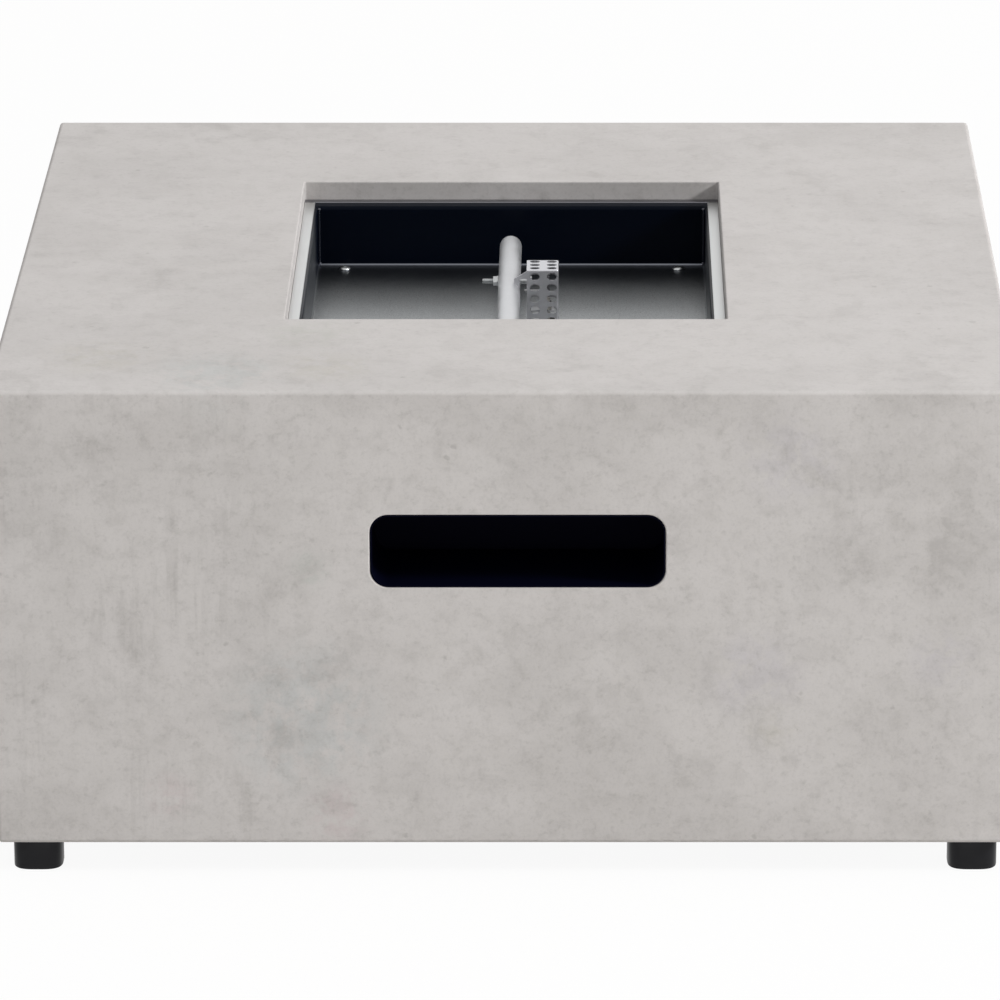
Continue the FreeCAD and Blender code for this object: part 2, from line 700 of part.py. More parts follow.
def make_shell():
    body = new_body("concrete_shell")
    outline = new_sketch(body, "shell_outline", "XY_Plane", foot_gap)
    rectangle(outline, -half_width, half_width, -half_depth, half_depth)
    pad(body, "shell_block", outline, shell_height)
    round_edges(body, "shell_outer_edges", edge_radius,
                lambda box, edge: box.ZLength > 1 or near(box.ZMin, top_face.number)
                or near(box.ZMax, foot_gap.number))

    hollow = new_sketch(body, "shell_hollow_outline", "XY_Plane", foot_gap)
    rectangle(hollow, wall - half_width, half_width - wall, wall - half_depth, half_depth - wall)
    pocket(body, "shell_hollow", hollow, shell_height - top_panel, flip=True)

    blocks = new_sketch(body, "corner_block_outlines", "XY_Plane", gusset_under)
    for _, side_x, side_y in corners:
        inner_x, inner_y = half_width - wall, half_depth - wall
        outline_points = [(inner_x, inner_y), (inner_x - gusset_size, inner_y),
                          (inner_x - gusset_size, inner_y - gusset_size + gusset_cut),
                          (inner_x - gusset_size + gusset_cut, inner_y - gusset_size),
                          (inner_x, inner_y - gusset_size)]
        polygon(blocks, [(side_x * x, side_y * y) for x, y in outline_points])
    pad(body, "corner_blocks", blocks, gusset_height)

    collar = new_sketch(body, "collar_outline", "XY_Plane", collar_underside)
    rectangle(collar, -collar_out_x, collar_out_x, -collar_out_y, collar_out_y)
    pad(body, "collar", collar, collar_drop)

    rebate = new_sketch(body, "rebate_outline", "XY_Plane", top_face)
    round_rectangle(rebate, -opening_width / 2, opening_width / 2,
                    -opening_depth / 2, opening_depth / 2, opening_corner)
    pocket(body, "rebate", rebate, top_face - ledge)
    round_edges(body, "opening_edge", mouth_radius,
                lambda box, edge: near(box.ZMin, top_face.number) and near(box.ZMax, top_face.number)
                and abs(box.XMin) < opening_width.number and abs(box.YMin) < opening_depth.number
                and box.XMax <= opening_width.number / 2 + 1
                and box.YMax <= opening_depth.number / 2 + 1
                and box.XMin >= -opening_width.number / 2 - 1
                and box.YMin >= -opening_depth.number / 2 - 1)
    through = new_sketch(body, "pan_way_outline", "XY_Plane", top_face)
    round_rectangle(through, -pan_out_x - pan_gap, pan_out_x + pan_gap,
                    -pan_out_y - pan_gap, pan_out_y + pan_gap, opening_corner)
    pocket(body, "pan_way", through, top_face - collar_underside)

    slots = new_sketch(body, "slot_outline", "XZ_Plane", half_depth)
    round_rectangle(slots, slot_shift - slot_width / 2, slot_shift + slot_width / 2,
                    slot_middle - slot_height / 2, slot_middle + slot_height / 2, slot_corner)
    pocket(body, "front_slot", slots, wall)
    rear = new_sketch(body, "rear_slot_outline", "XZ_Plane", wall - half_depth)
    round_rectangle(rear, slot_shift - slot_width / 2, slot_shift + slot_width / 2,
                    slot_middle - slot_height / 2, slot_middle + slot_height / 2, slot_corner)
    pocket(body, "rear_slot", rear, wall)
    recess = new_sketch(body, "recess_outline", "YZ_Plane", half_width)
    round_rectangle(recess, -recess_width / 2, recess_width / 2,
                    slot_middle - recess_height / 2, slot_middle + recess_height / 2, slot_corner)
    pocket(body, "control_recess", recess, wall)
    face_y, face_x = half_depth.number, half_width.number
    low, high = (foot_gap + wall).number, (top_face - wall).number
    round_edges(body, "slot_edges", mouth_radius,
                lambda box, edge: (box.YLength < 0.01 and near(abs(box.YMin), face_y)
                                   and box.XMax < slot_width.number
                                   and box.XMin > -slot_width.number and box.ZMin > low
                                   and box.ZMax < high)
                or (box.XLength < 0.01 and near(box.XMin, face_x)
                    and box.YMax < recess_width.number and box.YMin > -recess_width.number
                    and box.ZMin > low and box.ZMax < high))

    insert_hole = small_insert_radius + cast_gap
    front_holes = new_sketch(body, "front_insert_holes", "XZ_Plane", half_depth - wall)
    rear_holes = new_sketch(body, "rear_insert_holes", "XZ_Plane", wall - half_depth)
    for across, up_down in slot_screw_spots():
        circle(front_holes, slot_shift + across, slot_middle + up_down, insert_hole)
        circle(rear_holes, slot_shift + across, slot_middle + up_down, insert_hole)
    pocket(body, "front_inserts_way", front_holes, small_insert_length, flip=True)
    pocket(body, "rear_inserts_way", rear_holes, small_insert_length)
    side_holes = new_sketch(body, "side_insert_holes", "YZ_Plane", half_width - wall)
    for across, up_down in recess_screw_spots():
        circle(side_holes, across, slot_middle + up_down, insert_hole)
    pocket(body, "side_inserts_way", side_holes, small_insert_length, flip=True)

    large_hole = large_insert_radius + cast_gap
    plate_holes = new_sketch(body, "plate_insert_holes", "XY_Plane", gusset_under)
    stud_holes = new_sketch(body, "stud_holes", "XY_Plane", gusset_under)
    for _, side_x, side_y in corners:
        circle(stud_holes, side_x * foot_x, side_y * foot_y, nut_pocket)
        for from_x, from_y in plate_bolt_spots():
            circle(plate_holes, side_x * (half_width - wall - from_x),
                   side_y * (half_depth - wall - from_y), large_hole)
    pocket(body, "plate_inserts_way", plate_holes, large_insert_length, flip=True)
    pocket(body, "stud_ways", stud_holes, stud_reach + stud_end_room, flip=True)
    hanger_holes = new_sketch(body, "hanger_insert_holes", "XY_Plane", panel_underside)
    for side_x in (-1, 1):
        for side_y in (-1, 1):
            circle(hanger_holes, side_x * hanger_x(), side_y * strap_line, large_hole)
    pocket(body, "hanger_inserts_way", hanger_holes, large_insert_length, flip=True)
    return body


# Sheet metal pockets behind the slots and the controls

def make_liner(name, width, height, depth, screw_spots):
    """A pocket seen from outside: its mouth is at local z = 0 and it goes down local -Z."""
    body = new_body(name)
    half_w, half_h = width / 2 - liner_gap, height / 2 - liner_gap
    corner = slot_corner - liner_gap
    tube = new_sketch(body, name + "_tube_outline", "XY_Plane", -liner_set_back)
    round_rectangle(tube, -half_w, half_w, -half_h, half_h, corner)
    pad(body, name + "_tube", tube, depth - liner_set_back, flip=True)
    flange = new_sketch(body, name + "_flange_outline", "XY_Plane", -wall)
    round_rectangle(flange, -width / 2 - liner_flange, width / 2 + liner_flange,
                    -height / 2 - liner_flange, height / 2 + liner_flange, liner_screw_inset)
    pad(body, name + "_flange", flange, liner_sheet, flip=True)
    inside = new_sketch(body, name + "_inside_outline", "XY_Plane", -liner_set_back)
    round_rectangle(inside, liner_sheet - half_w, half_w - liner_sheet,
                    liner_sheet - half_h, half_h - liner_sheet, corner - liner_sheet)
    pocket(body, name + "_inside", inside, depth - liner_set_back - liner_sheet)
    holes = new_sketch(body, name + "_screw_holes", "XY_Plane", -wall)
    for across, up_down in screw_spots:
        circle(holes, across, up_down, screw_radius + hole_room)
    pocket(body, name + "_screw_ways", holes, liner_sheet)
    return body


def make_slot_liner(name, degrees, across):
    body = make_liner(name, slot_width, slot_height, slot_pocket, slot_screw_spots())
    vents = new_sketch(body, name + "_vents", "XY_Plane", -slot_pocket)
    for column in in_line(-3 * vent_pitch, 3 * vent_pitch, 7):
        obround(vents, column, slot_height / 4, vent_width, vent_height)
    pocket(body, name + "_vent_ways", vents, liner_sheet, flip=True)
    return place(body, *at_face(degrees, across, slot_middle, as_size(0)), facing(degrees))


def make_control_box():
    body = make_liner("control_box", recess_width, recess_height, recess_depth, recess_screw_spots())
    holes = new_sketch(body, "control_holes", "XY_Plane", -recess_depth)
    circle(holes, knob_shift, 0, boss_radius + hole_room)
    circle(holes, button_shift, 0, igniter_radius + hole_room)
    pocket(body, "control_ways", holes, liner_sheet, flip=True)
    return place(body, *at_face(90, as_size(0), slot_middle, as_size(0)), facing(90))


# Pan, trim frame and straps

def make_pan():
    body = new_body("burner_pan")
    flange = new_sketch(body, "pan_flange_outline", "XY_Plane", ledge)
    rectangle(flange, -trim_out_x, trim_out_x, -trim_out_y, trim_out_y)
    pad(body, "pan_flange", flange, pan_sheet)
    tub = new_sketch(body, "pan_tub_outline", "XY_Plane", pan_under)
    round_rectangle(tub, -pan_out_x, pan_out_x, -pan_out_y, pan_out_y, pan_corner + pan_sheet)
    pad(body, "pan_tub", tub, flange_top - pan_under)
    round_edges(body, "pan_lower_bend", pan_bend + pan_sheet,
                lambda box, edge: near(box.ZMax, pan_under.number))
    round_edges(body, "pan_flange_bend_under", pan_bend,
                lambda box, edge: box.ZLength < 0.01 and near(box.ZMin, ledge.number)
                and max(box.XMax, -box.XMin) < (pan_out_x + pan_sheet).number
                and max(box.YMax, -box.YMin) < (pan_out_y + pan_sheet).number)
    inside = new_sketch(body, "pan_inside_outline", "XY_Plane", flange_top)
    round_rectangle(inside, -pan_width / 2, pan_width / 2, -pan_depth / 2, pan_depth / 2, pan_corner)
    pocket(body, "pan_inside", inside, flange_top - pan_floor)
    round_edges(body, "pan_floor_bend", pan_bend,
                lambda box, edge: near(box.ZMax, pan_floor.number) and near(box.ZMin, pan_floor.number))
    round_edges(body, "pan_flange_bend", flange_bend,
                lambda box, edge: near(box.ZMin, flange_top.number)
                and box.XMax < pan_out_x.number and box.YMax < pan_out_y.number
                and box.XMin > -pan_out_x.number and box.YMin > -pan_out_y.number)
    holes = new_sketch(body, "pan_holes", "XY_Plane", pan_floor)
    circle(holes, 0, 0, nipple_radius + hole_room)
    for side_y in (-1, 1):
        for side_x in (-1, 1):
            circle(holes, side_x * pan_screw_x, side_y * strap_line, pan_screw_radius + pan_screw_room)
        circle(holes, 0, side_y * (support_shift + support_foot / 2 + support_sheet / 2),
               pan_screw_radius + pan_screw_room)
    for x, y in probe_spots():
        circle(holes, x, y, grommet_radius)
    pocket(body, "pan_ways", holes)
    return body


def make_trim():
    body = new_body("trim_frame")
    outline = new_sketch(body, "trim_outline", "XY_Plane", flange_top)
    rectangle(outline, -trim_out_x, trim_out_x, -trim_out_y, trim_out_y)
    rectangle(outline, -trim_in_x, trim_in_x, -trim_in_y, trim_in_y)
    pad(body, "trim_plate", outline, trim_sheet)
    return body


def make_strap(name, side_y):
    """A hat-shaped flat bar: under the pan, up past the collar, and out under the top panel."""
    body = new_body(name)
    leg = collar_out_x + strap_clearance
    low, high = pan_under - strap_sheet, panel_underside
    right_half = [(leg + strap_sheet, low), (leg + strap_sheet, high - strap_sheet),
                  (leg + strap_sheet + strap_foot, high - strap_sheet),
                  (leg + strap_sheet + strap_foot, high), (leg, high), (leg, pan_under)]
    left_half = [(-x, z) for x, z in reversed(right_half)]
    profile = new_sketch(body, name + "_profile", "XZ_Plane")
    polygon(profile, right_half + left_half)
    pad(body, name + "_bar", profile, strap_width, both_ways=True)
    holes = new_sketch(body, name + "_holes", "XY_Plane", high)
    for side_x in (-1, 1):
        circle(holes, side_x * hanger_x(), 0, bolt_radius + hole_room)
        circle(holes, side_x * pan_screw_x, 0, pan_screw_radius + pan_screw_room)
    pocket(body, name + "_ways", holes)
    return place(body, 0, side_y * strap_line, 0)


def strap_nut_master():
    outer = hex_prism("strap_nut_block", strap_nut_flats, strap_nut_height)
    inner = cylinder("strap_nut_bore", pan_screw_radius + thread_gap, strap_nut_height)
    return take("strap_nut_master", outer, inner)


# Burner tube, its supports and its inlet

def make_tube():
    body = new_body("burner_tube")
    for stage, radius, half_length in (("outside", tube_radius, tube_half),
                                       ("inside", tube_radius - tube_sheet, tube_half - tube_sheet)):
        sketch = new_sketch(body, f"tube_{stage}_profile", "XY_Plane")
        capsule_half(sketch, radius, half_length)
        if stage == "outside":
            spin(body, "tube_outside", sketch)
        else:
            def settings(feature):
                feature.ReferenceAxis = (sketch, ["V_Axis"])
                feature.Angle = 360
            cut_feature(body, "PartDesign::Groove", "tube_inside", sketch, settings)
    inlet = new_sketch(body, "tube_inlet_outline", "XY_Plane")
    circle(inlet, 0, 0, nipple_bore)
    pocket(body, "tube_inlet", inlet, tube_radius * 2)
    cross = new_sketch(body, "tube_cross_hole_outline", "YZ_Plane")
    circle(cross, guard_bolt_y(), 0, guard_bolt_radius + thread_gap)
    pocket(body, "tube_cross_hole", cross, tube_radius * 4, both_ways=True)
    for side, tilt in (("left", port_tilt), ("right", -port_tilt)):
        port = new_sketch(body, f"port_{side}_outline", "XY_Plane",
                          tilt=Rotation(Vector(0, 1, 0), tilt))
        circle(port, 0, -port_span / 2, port_radius)
        hole = pocket(body, f"port_{side}", port, tube_radius + 1)
        row = body.newObject("PartDesign::LinearPattern", f"ports_{side}")
        row.Originals = [hole]
        row.Direction = (port, ["V_Axis"])
        bind(row, "Length", port_span)
        row.Occurrences = port_count
        body.Tip = row
        doc.recompute()
    return place(body, 0, 0, tube_axis)


def capsule_half(sketch, radius, half_length):
    """Half of a round-ended tube, closed along the sketch's upright axis."""
    turn_at = half_length - radius
    low, high = Vector(0, -turn_at.number, 0), Vector(0, turn_at.number, 0)
    side_way, end_way = Vector(radius.number, 0, 0), Vector(0, radius.number, 0)
    axis_line = sketch.addGeometry(Part.LineSegment(high + end_way, low - end_way))
    lower = sketch.addGeometry(Part.ArcOfCircle(
        Part.Circle(low, Vector(0, 0, 1), radius.number), -math.pi / 2, 0))
    side = sketch.addGeometry(Part.LineSegment(low + side_way, high + side_way))
    upper = sketch.addGeometry(Part.ArcOfCircle(
        Part.Circle(high, Vector(0, 0, 1), radius.number), 0, math.pi / 2))
    sketch.addConstraint(Sketcher.Constraint("Coincident", axis_line, 2, lower, 1))
    sketch.addConstraint(Sketcher.Constraint("Tangent", lower, 2, side, 1))
    sketch.addConstraint(Sketcher.Constraint("Tangent", side, 2, upper, 1))
    sketch.addConstraint(Sketcher.Constraint("Coincident", upper, 2, axis_line, 1))
    pin(sketch, lower, 3, 0, -turn_at)
    pin(sketch, upper, 3, 0, turn_at)
    pin(sketch, axis_line, 1, 0, half_length)
    pin(sketch, axis_line, 2, 0, -half_length)


def make_support(name, degrees):
    """A bent leg under the tube: foot on the pan floor, upright, and a shelf that carries the tube."""
    body = new_body(name)
    shelf = tube_rise - tube_radius
    reach = support_foot + support_sheet / 2
    half = support_sheet / 2
    profile = new_sketch(body, name + "_profile", "YZ_Plane")
    polygon(profile, [(-half, 0), (reach, 0), (reach, support_sheet), (half, support_sheet),
                      (half, shelf), (-reach, shelf), (-reach, shelf - support_sheet),
                      (-half, shelf - support_sheet)])
    pad(body, name + "_bar", profile, support_width, both_ways=True)
    hole = new_sketch(body, name + "_hole", "XY_Plane", support_sheet)
    circle(hole, 0, support_foot / 2 + half, pan_screw_radius + pan_screw_room)
    pocket(body, name + "_way", hole, support_sheet)
    turn = Rotation(Vector(0, 0, 1), degrees)
    side = 1 if degrees == 0 else -1
    return place(body, 0, side * support_shift, pan_floor, turn)


def make_nipple():
    top = tube_rise + nipple_drop
    outer = cylinder("nipple_outer", nipple_radius, top, z=pan_floor - nipple_drop)
    inner = cylinder("nipple_inner", nipple_bore, top, z=pan_floor - nipple_drop)
    cope = cylinder("nipple_cope", tube_radius, nipple_radius * 4, y=nipple_radius * 2,
                    z=tube_axis, turn=Rotation(Vector(1, 0, 0), 90))
    return take("inlet_nipple", outer, join("nipple_ways", [inner, cope]))


def make_locknuts():
    outer = hex_prism("locknut_block", locknut_flats, locknut_height)
    inner = cylinder("locknut_bore", nipple_radius + thread_gap, locknut_height)
    master = take("locknut_master", outer, inner)
    flats_aside = Rotation(Vector(0, 0, 1), 30)
    return linked_group("inlet_locknuts", master, [
        (0, 0, pan_floor, flats_aside), (0, 0, pan_under - locknut_height, flats_aside)])


mixer_top = pan_floor - nipple_drop + mixer_socket
mixer_bottom = mixer_top - mixer_length
shutter_low = mixer_bottom + mixer_rim + thread_gap


def add_windows(body, name, reach):
    """Two air windows, front and rear, at the shutter's middle height."""
    sketch = new_sketch(body, name + "_window_outline", "XZ_Plane")
    middle = shutter_low + shutter_height / 2
    half_w, half_h = window_width / 2, window_height / 2
    rectangle(sketch, -half_w, half_w, middle - half_h, middle + half_h)
    pocket(body, name + "_windows", sketch, reach * 4, both_ways=True)


def make_mixer():
    body = new_body("venturi_mixer")
    socket = nipple_radius + thread_gap
    chamber = nipple_bore + mixer_step
    turned(body, "mixer_turned", [
        (spud_radius + thread_gap, mixer_bottom), (mixer_radius + mixer_rim, mixer_bottom),
        (mixer_radius + mixer_rim, mixer_bottom + mixer_rim), (mixer_radius, mixer_bottom + mixer_rim),
        (mixer_radius, mixer_top), (socket, mixer_top), (socket, mixer_top - mixer_socket),
        (chamber, mixer_top - mixer_socket), (chamber, mixer_bottom + mixer_floor),
        (spud_radius + thread_gap, mixer_bottom + mixer_floor)])
    add_windows(body, "mixer", mixer_radius)
    return body


def make_shutter():
    body = new_body("air_shutter")
    inner = mixer_radius + thread_gap
    outer = inner + shutter_sheet
    turned(body, "shutter_turned", [(inner, shutter_low), (outer, shutter_low),
                                    (outer, shutter_low + shutter_height),
                                    (inner, shutter_low + shutter_height)])
    add_windows(body, "shutter", mixer_radius)
    return body


def make_orifice():
    body = new_body("orifice_fitting")
    block_sketch = new_sketch(body, "orifice_hex_outline", "XY_Plane", mixer_bottom)
    hexagon(block_sketch, orifice_flats)
    pad(body, "orifice_block", block_sketch, orifice_hex, flip=True)
    low = mixer_bottom - orifice_hex
    thread = new_sketch(body, "orifice_thread_outline", "XY_Plane", low)
    circle(thread, 0, 0, flare_radius)
    pad(body, "orifice_thread", thread, flare_length, flip=True)
    spud = new_sketch(body, "orifice_spud_outline", "XY_Plane", mixer_bottom)
    circle(spud, 0, 0, spud_radius)
    pad(body, "orifice_spud", spud, orifice_spud)
    way = new_sketch(body, "orifice_way_outline", "XY_Plane", low - flare_length)
    circle(way, 0, 0, flare_bore)
    pocket(body, "orifice_way", way, flare_length + orifice_hex, flip=True)
    jet = new_sketch(body, "orifice_jet_outline", "XY_Plane", mixer_bottom + orifice_spud)
    circle(jet, 0, 0, jet_radius)
    pocket(body, "orifice_jet", jet, orifice_spud)
    return body


# Guard, electrode and thermocouple

def guard_bolt_y():
    return guard_front + guard_depth + guard_tab / 2


def probe_spots():
    """The electrode's and the thermocouple's axes in the pan."""
    x = guard_from_tube + guard_width - guard_sheet - probe_inset
    middle = guard_front + guard_depth / 2
    return [(x, middle - probe_spacing / 2), (x, middle + probe_spacing / 2)]


def guard_columns():
    middle = guard_from_tube + guard_width / 2 + guard_sheet / 2
    return [middle - guard_hole_across / 2, middle + guard_hole_across / 2]


def make_guard():
    """A folded cover, open to the tube and below: its ear hooks over the tube's shoulder."""
    body = new_body("ignition_guard")
    left, right = guard_from_tube, guard_from_tube + guard_width
    front, rear = guard_front, guard_front + guard_depth
    outline = new_sketch(body, "guard_outline", "XY_Plane")
    rectangle(outline, left, right, front, rear)
    pad(body, "guard_block", outline, guard_height)
    round_edges(body, "guard_folds", guard_bend,
                lambda box, edge: near(box.XMin, right.number)
                or (near(box.ZMin, guard_height.number) and box.XLength > 1))
    hollow = new_sketch(body, "guard_hollow_outline", "XY_Plane")
    rectangle(hollow, left - guard_sheet, right - guard_sheet, front + guard_sheet, rear - guard_sheet)
    pocket(body, "guard_hollow", hollow, guard_height - guard_sheet, flip=True)

    ear = new_sketch(body, "guard_ear_outline", "XZ_Plane", -front)
    shoulder = tube_rise + tube_radius
    tip, low = left - guard_ear_reach, tube_rise + guard_ear_low
    notch_top = guard_height - guard_notch_drop
    polygon(ear, [(left, guard_height - guard_bend), (tip, shoulder + guard_ear_rise), (tip, low),
                  (guard_notch_side, low), (guard_notch_side, notch_top), (left, notch_top)])
    pad(body, "guard_ear", ear, guard_sheet, flip=True)
    saddle = new_sketch(body, "guard_saddle_outline", "XZ_Plane", -front)
    circle(saddle, 0, tube_rise, tube_radius + guard_saddle_gap)
    pocket(body, "guard_saddle", saddle, guard_sheet)

    tab = new_sketch(body, "guard_tab_outline", "YZ_Plane", left)
    rectangle(tab, rear - guard_sheet, rear + guard_tab,
              tube_rise - guard_tab_height / 2, tube_rise + guard_tab_height / 2)
    pad(body, "guard_tab", tab, guard_sheet)
    bolt_way = new_sketch(body, "guard_bolt_outline", "YZ_Plane", left + guard_sheet)
    circle(bolt_way, guard_bolt_y(), tube_rise, guard_bolt_radius + hole_room)
    pocket(body, "guard_bolt_way", bolt_way, guard_sheet)

    face_holes = new_sketch(body, "guard_face_holes", "XZ_Plane", -front)
    for column in guard_columns():
        for row in range(guard_rows):
            obround(face_holes, column, guard_height - guard_hole_top - guard_hole_down * row,
                    guard_hole_width, guard_hole_height)
    pocket(body, "guard_face_ways", face_holes, guard_depth)
    top_holes = new_sketch(body, "guard_top_holes", "XY_Plane", guard_height)
    for column in guard_columns():
        for row in in_line(-guard_hole_down, guard_hole_down, 3):
            obround(top_holes, column, (front + rear) / 2 + row, guard_hole_width, guard_hole_height)
    pocket(body, "guard_top_ways", top_holes, guard_sheet)
    return place(body, 0, 0, pan_floor)


quarter_turn = Rotation(Vector(0, 1, 0), 90)


def guard_bolt_start():
    """The outer face of the guard's tab, under the bolt's head."""
    return guard_from_tube + guard_sheet


def make_guard_bolt():
    head = hex_prism("guard_bolt_head_block", guard_bolt_flats, guard_bolt_head, guard_bolt_start(),
                     guard_bolt_y(), tube_axis, quarter_turn)
    reach = guard_bolt_start() + tube_radius + guard_bolt_tail
    shank = cylinder("guard_bolt_shank", guard_bolt_radius, reach, -tube_radius - guard_bolt_tail,
                     guard_bolt_y(), tube_axis, quarter_turn)
    return join("guard_bolt", [head, shank])


def make_guard_nut():
    low = -tube_radius - washer_sheet - guard_nut_height
    outer = hex_prism("guard_nut_block", guard_bolt_flats, guard_nut_height, low,
                      guard_bolt_y(), tube_axis, quarter_turn)
    inner = cylinder("guard_nut_bore", guard_bolt_radius + thread_gap, guard_nut_height, low,
                     guard_bolt_y(), tube_axis, quarter_turn)
    return take("guard_nut", outer, inner)


def make_guard_washer():
    low = -tube_radius - washer_sheet
    outer = cylinder("washer_disc", washer_radius, washer_sheet, low, guard_bolt_y(), tube_axis,
                     quarter_turn)
    inner = cylinder("washer_bore", guard_bolt_radius + thread_gap, washer_sheet, low,
                     guard_bolt_y(), tube_axis, quarter_turn)
    return take("guard_washer", outer, inner)


def make_probe_bracket():
    """A bent shelf on the pan floor that holds both probes upright."""
    body = new_body("probe_bracket")
    (x, first_y), (_, second_y) = probe_spots()
    half = bracket_width / 2
    room = grommet_radius + grommet_rim + bracket_leg_room
    left = x - half - room
    profile = new_sketch(body, "probe_bracket_profile", "XZ_Plane", -(first_y + second_y) / 2)
    polygon(profile, [(left, 0), (left + bracket_sheet, 0),
                      (left + bracket_sheet, bracket_rise - bracket_sheet),
                      (x + half, bracket_rise - bracket_sheet), (x + half, bracket_rise),
                      (left, bracket_rise)])
    pad(body, "probe_bracket_bar", profile, probe_spacing + bracket_end, both_ways=True)
    holes = new_sketch(body, "probe_bracket_holes", "XY_Plane", bracket_rise)
    circle(holes, x, first_y, insulator_radius + thread_gap)
    circle(holes, x, second_y, thermocouple_radius + thread_gap)
    pocket(body, "probe_bracket_ways", holes, bracket_sheet)
    return place(body, 0, 0, pan_floor)


def make_insulator():
    body = new_body("electrode_insulator")
    x, y = probe_spots()[0]
    bore = rod_radius + thread_gap
    turned(body, "insulator_turned", [
        (bore, insulator_foot), (insulator_radius, insulator_foot), (insulator_radius, bracket_rise),
        (insulator_collar, bracket_rise), (insulator_collar, bracket_rise + insulator_collar_side),
        (insulator_radius, bracket_rise + insulator_collar_side + insulator_collar_slope),
        (insulator_radius, insulator_top), (bore, insulator_top)])
    return place(body, x, y, pan_floor)


def make_thermocouple():
    body = new_body("thermocouple")
    x, y = probe_spots()[1]
    tip = thermocouple_radius / 2
    turned(body, "thermocouple_turned", [
        (0, insulator_foot), (thermocouple_radius, insulator_foot),
        (thermocouple_radius, bracket_rise), (insulator_collar, bracket_rise),
        (insulator_collar, bracket_rise + insulator_collar_side),
        (thermocouple_radius, bracket_rise + insulator_collar_side),
        (thermocouple_radius, thermocouple_top - tip), (tip, thermocouple_top),
        (0, thermocouple_top)])
    return place(body, x, y, pan_floor)


def make_grommets():
    """One in each hole of the pan floor that a wire or lead passes."""
    grommets = []
    for number, bore in ((0, wire_radius), (1, lead_radius)):
        body = new_body(f"grommet_master_{number + 1}")
        neck, rim = grommet_radius - thread_gap, grommet_radius + grommet_rim
        bore = bore + thread_gap
        turned(body, f"grommet_turned_{number + 1}", [
            (bore, -pan_sheet - grommet_rim), (rim, -pan_sheet - grommet_rim),
            (rim, -pan_sheet), (neck, -pan_sheet), (neck, 0), (rim, 0), (rim, grommet_rim),
            (bore, grommet_rim)])
        x, y = probe_spots()[number]
        grommets.append(place(body, x, y, pan_floor))
    group = doc.addObject("Part::Compound", "pan_grommets")
    group.Links = grommets
    return group


# Tubes, leads and wires that follow a path of straight runs joined by tangent arcs

def rounded_corner(enter, corner, leave):
    """The arc that is tangent to both legs of a corner whose legs are equally long."""
    back, ahead = enter - corner, leave - corner
    half_inside = back.getAngle(ahead) / 2
    bend = back.Length * math.tan(half_inside)
    middle_way = back.normalize() + ahead.normalize()
    middle = corner + middle_way.normalize() * (bend / math.sin(half_inside) - bend)
    return Part.Arc(enter, middle, leave).toShape(), bend


def sweep_circle(edges, heading, radius):
    """A round bar along a path of edges."""
    path = Part.Wire(edges)
    section = Part.Wire(Part.Circle(edges[0].Vertexes[0].Point, heading, radius).toShape())
    solid = path.makePipeShell([section], True, False)
    length = sum(edge.Length for edge in edges)
    expected = math.pi * radius ** 2 * length
    if abs(solid.Volume / expected - 1) > 0.01:
        raise RuntimeError(f"a swept bar has volume {solid.Volume}, not {expected}")
    return solid, length


def make_lead(name, points, radius, share=0.45):
    """A round lead along hand-set points; each arc takes a share of the shorter of its two runs."""
    spots = [Vector(*[as_size(part).number for part in point]) for point in points]
    edges = []
    bends = []
    start = spots[0]
    for before, corner, after in zip(spots, spots[1:], spots[2:]):
        back, ahead = before - corner, after - corner
        reach = share * min(back.Length, ahead.Length)
        enter = corner + back.normalize() * reach
        leave = corner + ahead.normalize() * reach
        arc, bend = rounded_corner(enter, corner, leave)
        edges += [Part.LineSegment(start, enter).toShape(), arc]
        bends.append(bend)
        start = leave
    edges.append(Part.LineSegment(start, spots[-1]).toShape())
    solid, length = sweep_circle(edges, spots[1] - spots[0], as_size(radius).number)
    print(f"{name}: length {length:.0f} mm, bends " + ", ".join(f"{bend:.0f}" for bend in bends))
    item = doc.addObject("Part::Feature", name)
    item.Shape = solid
    return item


def make_spring(name, coil_radius, wire_radius, low, high, turns):
    """A coil along local Z, one unbroken wire of two arcs to each quarter turn."""
    coil_radius, wire_radius = coil_radius.number, wire_radius.number
    foot = low.number + wire_radius
    rise = (high.number - wire_radius - foot) / (4 * turns)

    def at(step):
        angle = step * math.pi / 2
        point = Vector(coil_radius * math.cos(angle), coil_radius * math.sin(angle), foot + rise * step)
        heading = Vector(-math.sin(angle), math.cos(angle), rise / (coil_radius * math.pi / 2))
        return point, heading.normalize()

    edges = []
    for step in range(4 * turns):
        start, start_heading = at(step)
        end, end_heading = at(step + 1)
        chord, both = end - start, start_heading + end_heading
        spread = 2 * (1 - start_heading.dot(end_heading))
        along = chord.dot(both)
        reach = (math.sqrt(along ** 2 + spread * chord.dot(chord)) - along) / spread
        first_corner, second_corner = start + start_heading * reach, end - end_heading * reach
        middle = (first_corner + second_corner) / 2
        edges += [rounded_corner(start, first_corner, middle)[0],
                  rounded_corner(middle, second_corner, end)[0]]
    solid, length = sweep_circle(edges, at(0)[1], wire_radius)
    print(f"{name}: wire length {length:.0f} mm, gap between turns {4 * rise - 2 * wire_radius:.2f} mm")
    item = doc.addObject("Part::Feature", name)
    item.Shape = solid
    return item


def make_electrode_rod():
    """Up through the insulator, then over towards the tube's side, where the spark jumps."""
    x, y = probe_spots()[0]
    tip_x = tube_radius + spark_gap
    return make_lead("electrode_rod", [(x, y, pan_floor + insulator_foot), (x, y, tube_axis),
                                       (tip_x, y, tube_axis)], rod_radius, share=0.3)


# Valve, knob and igniter, all on axes that look out of the right wall

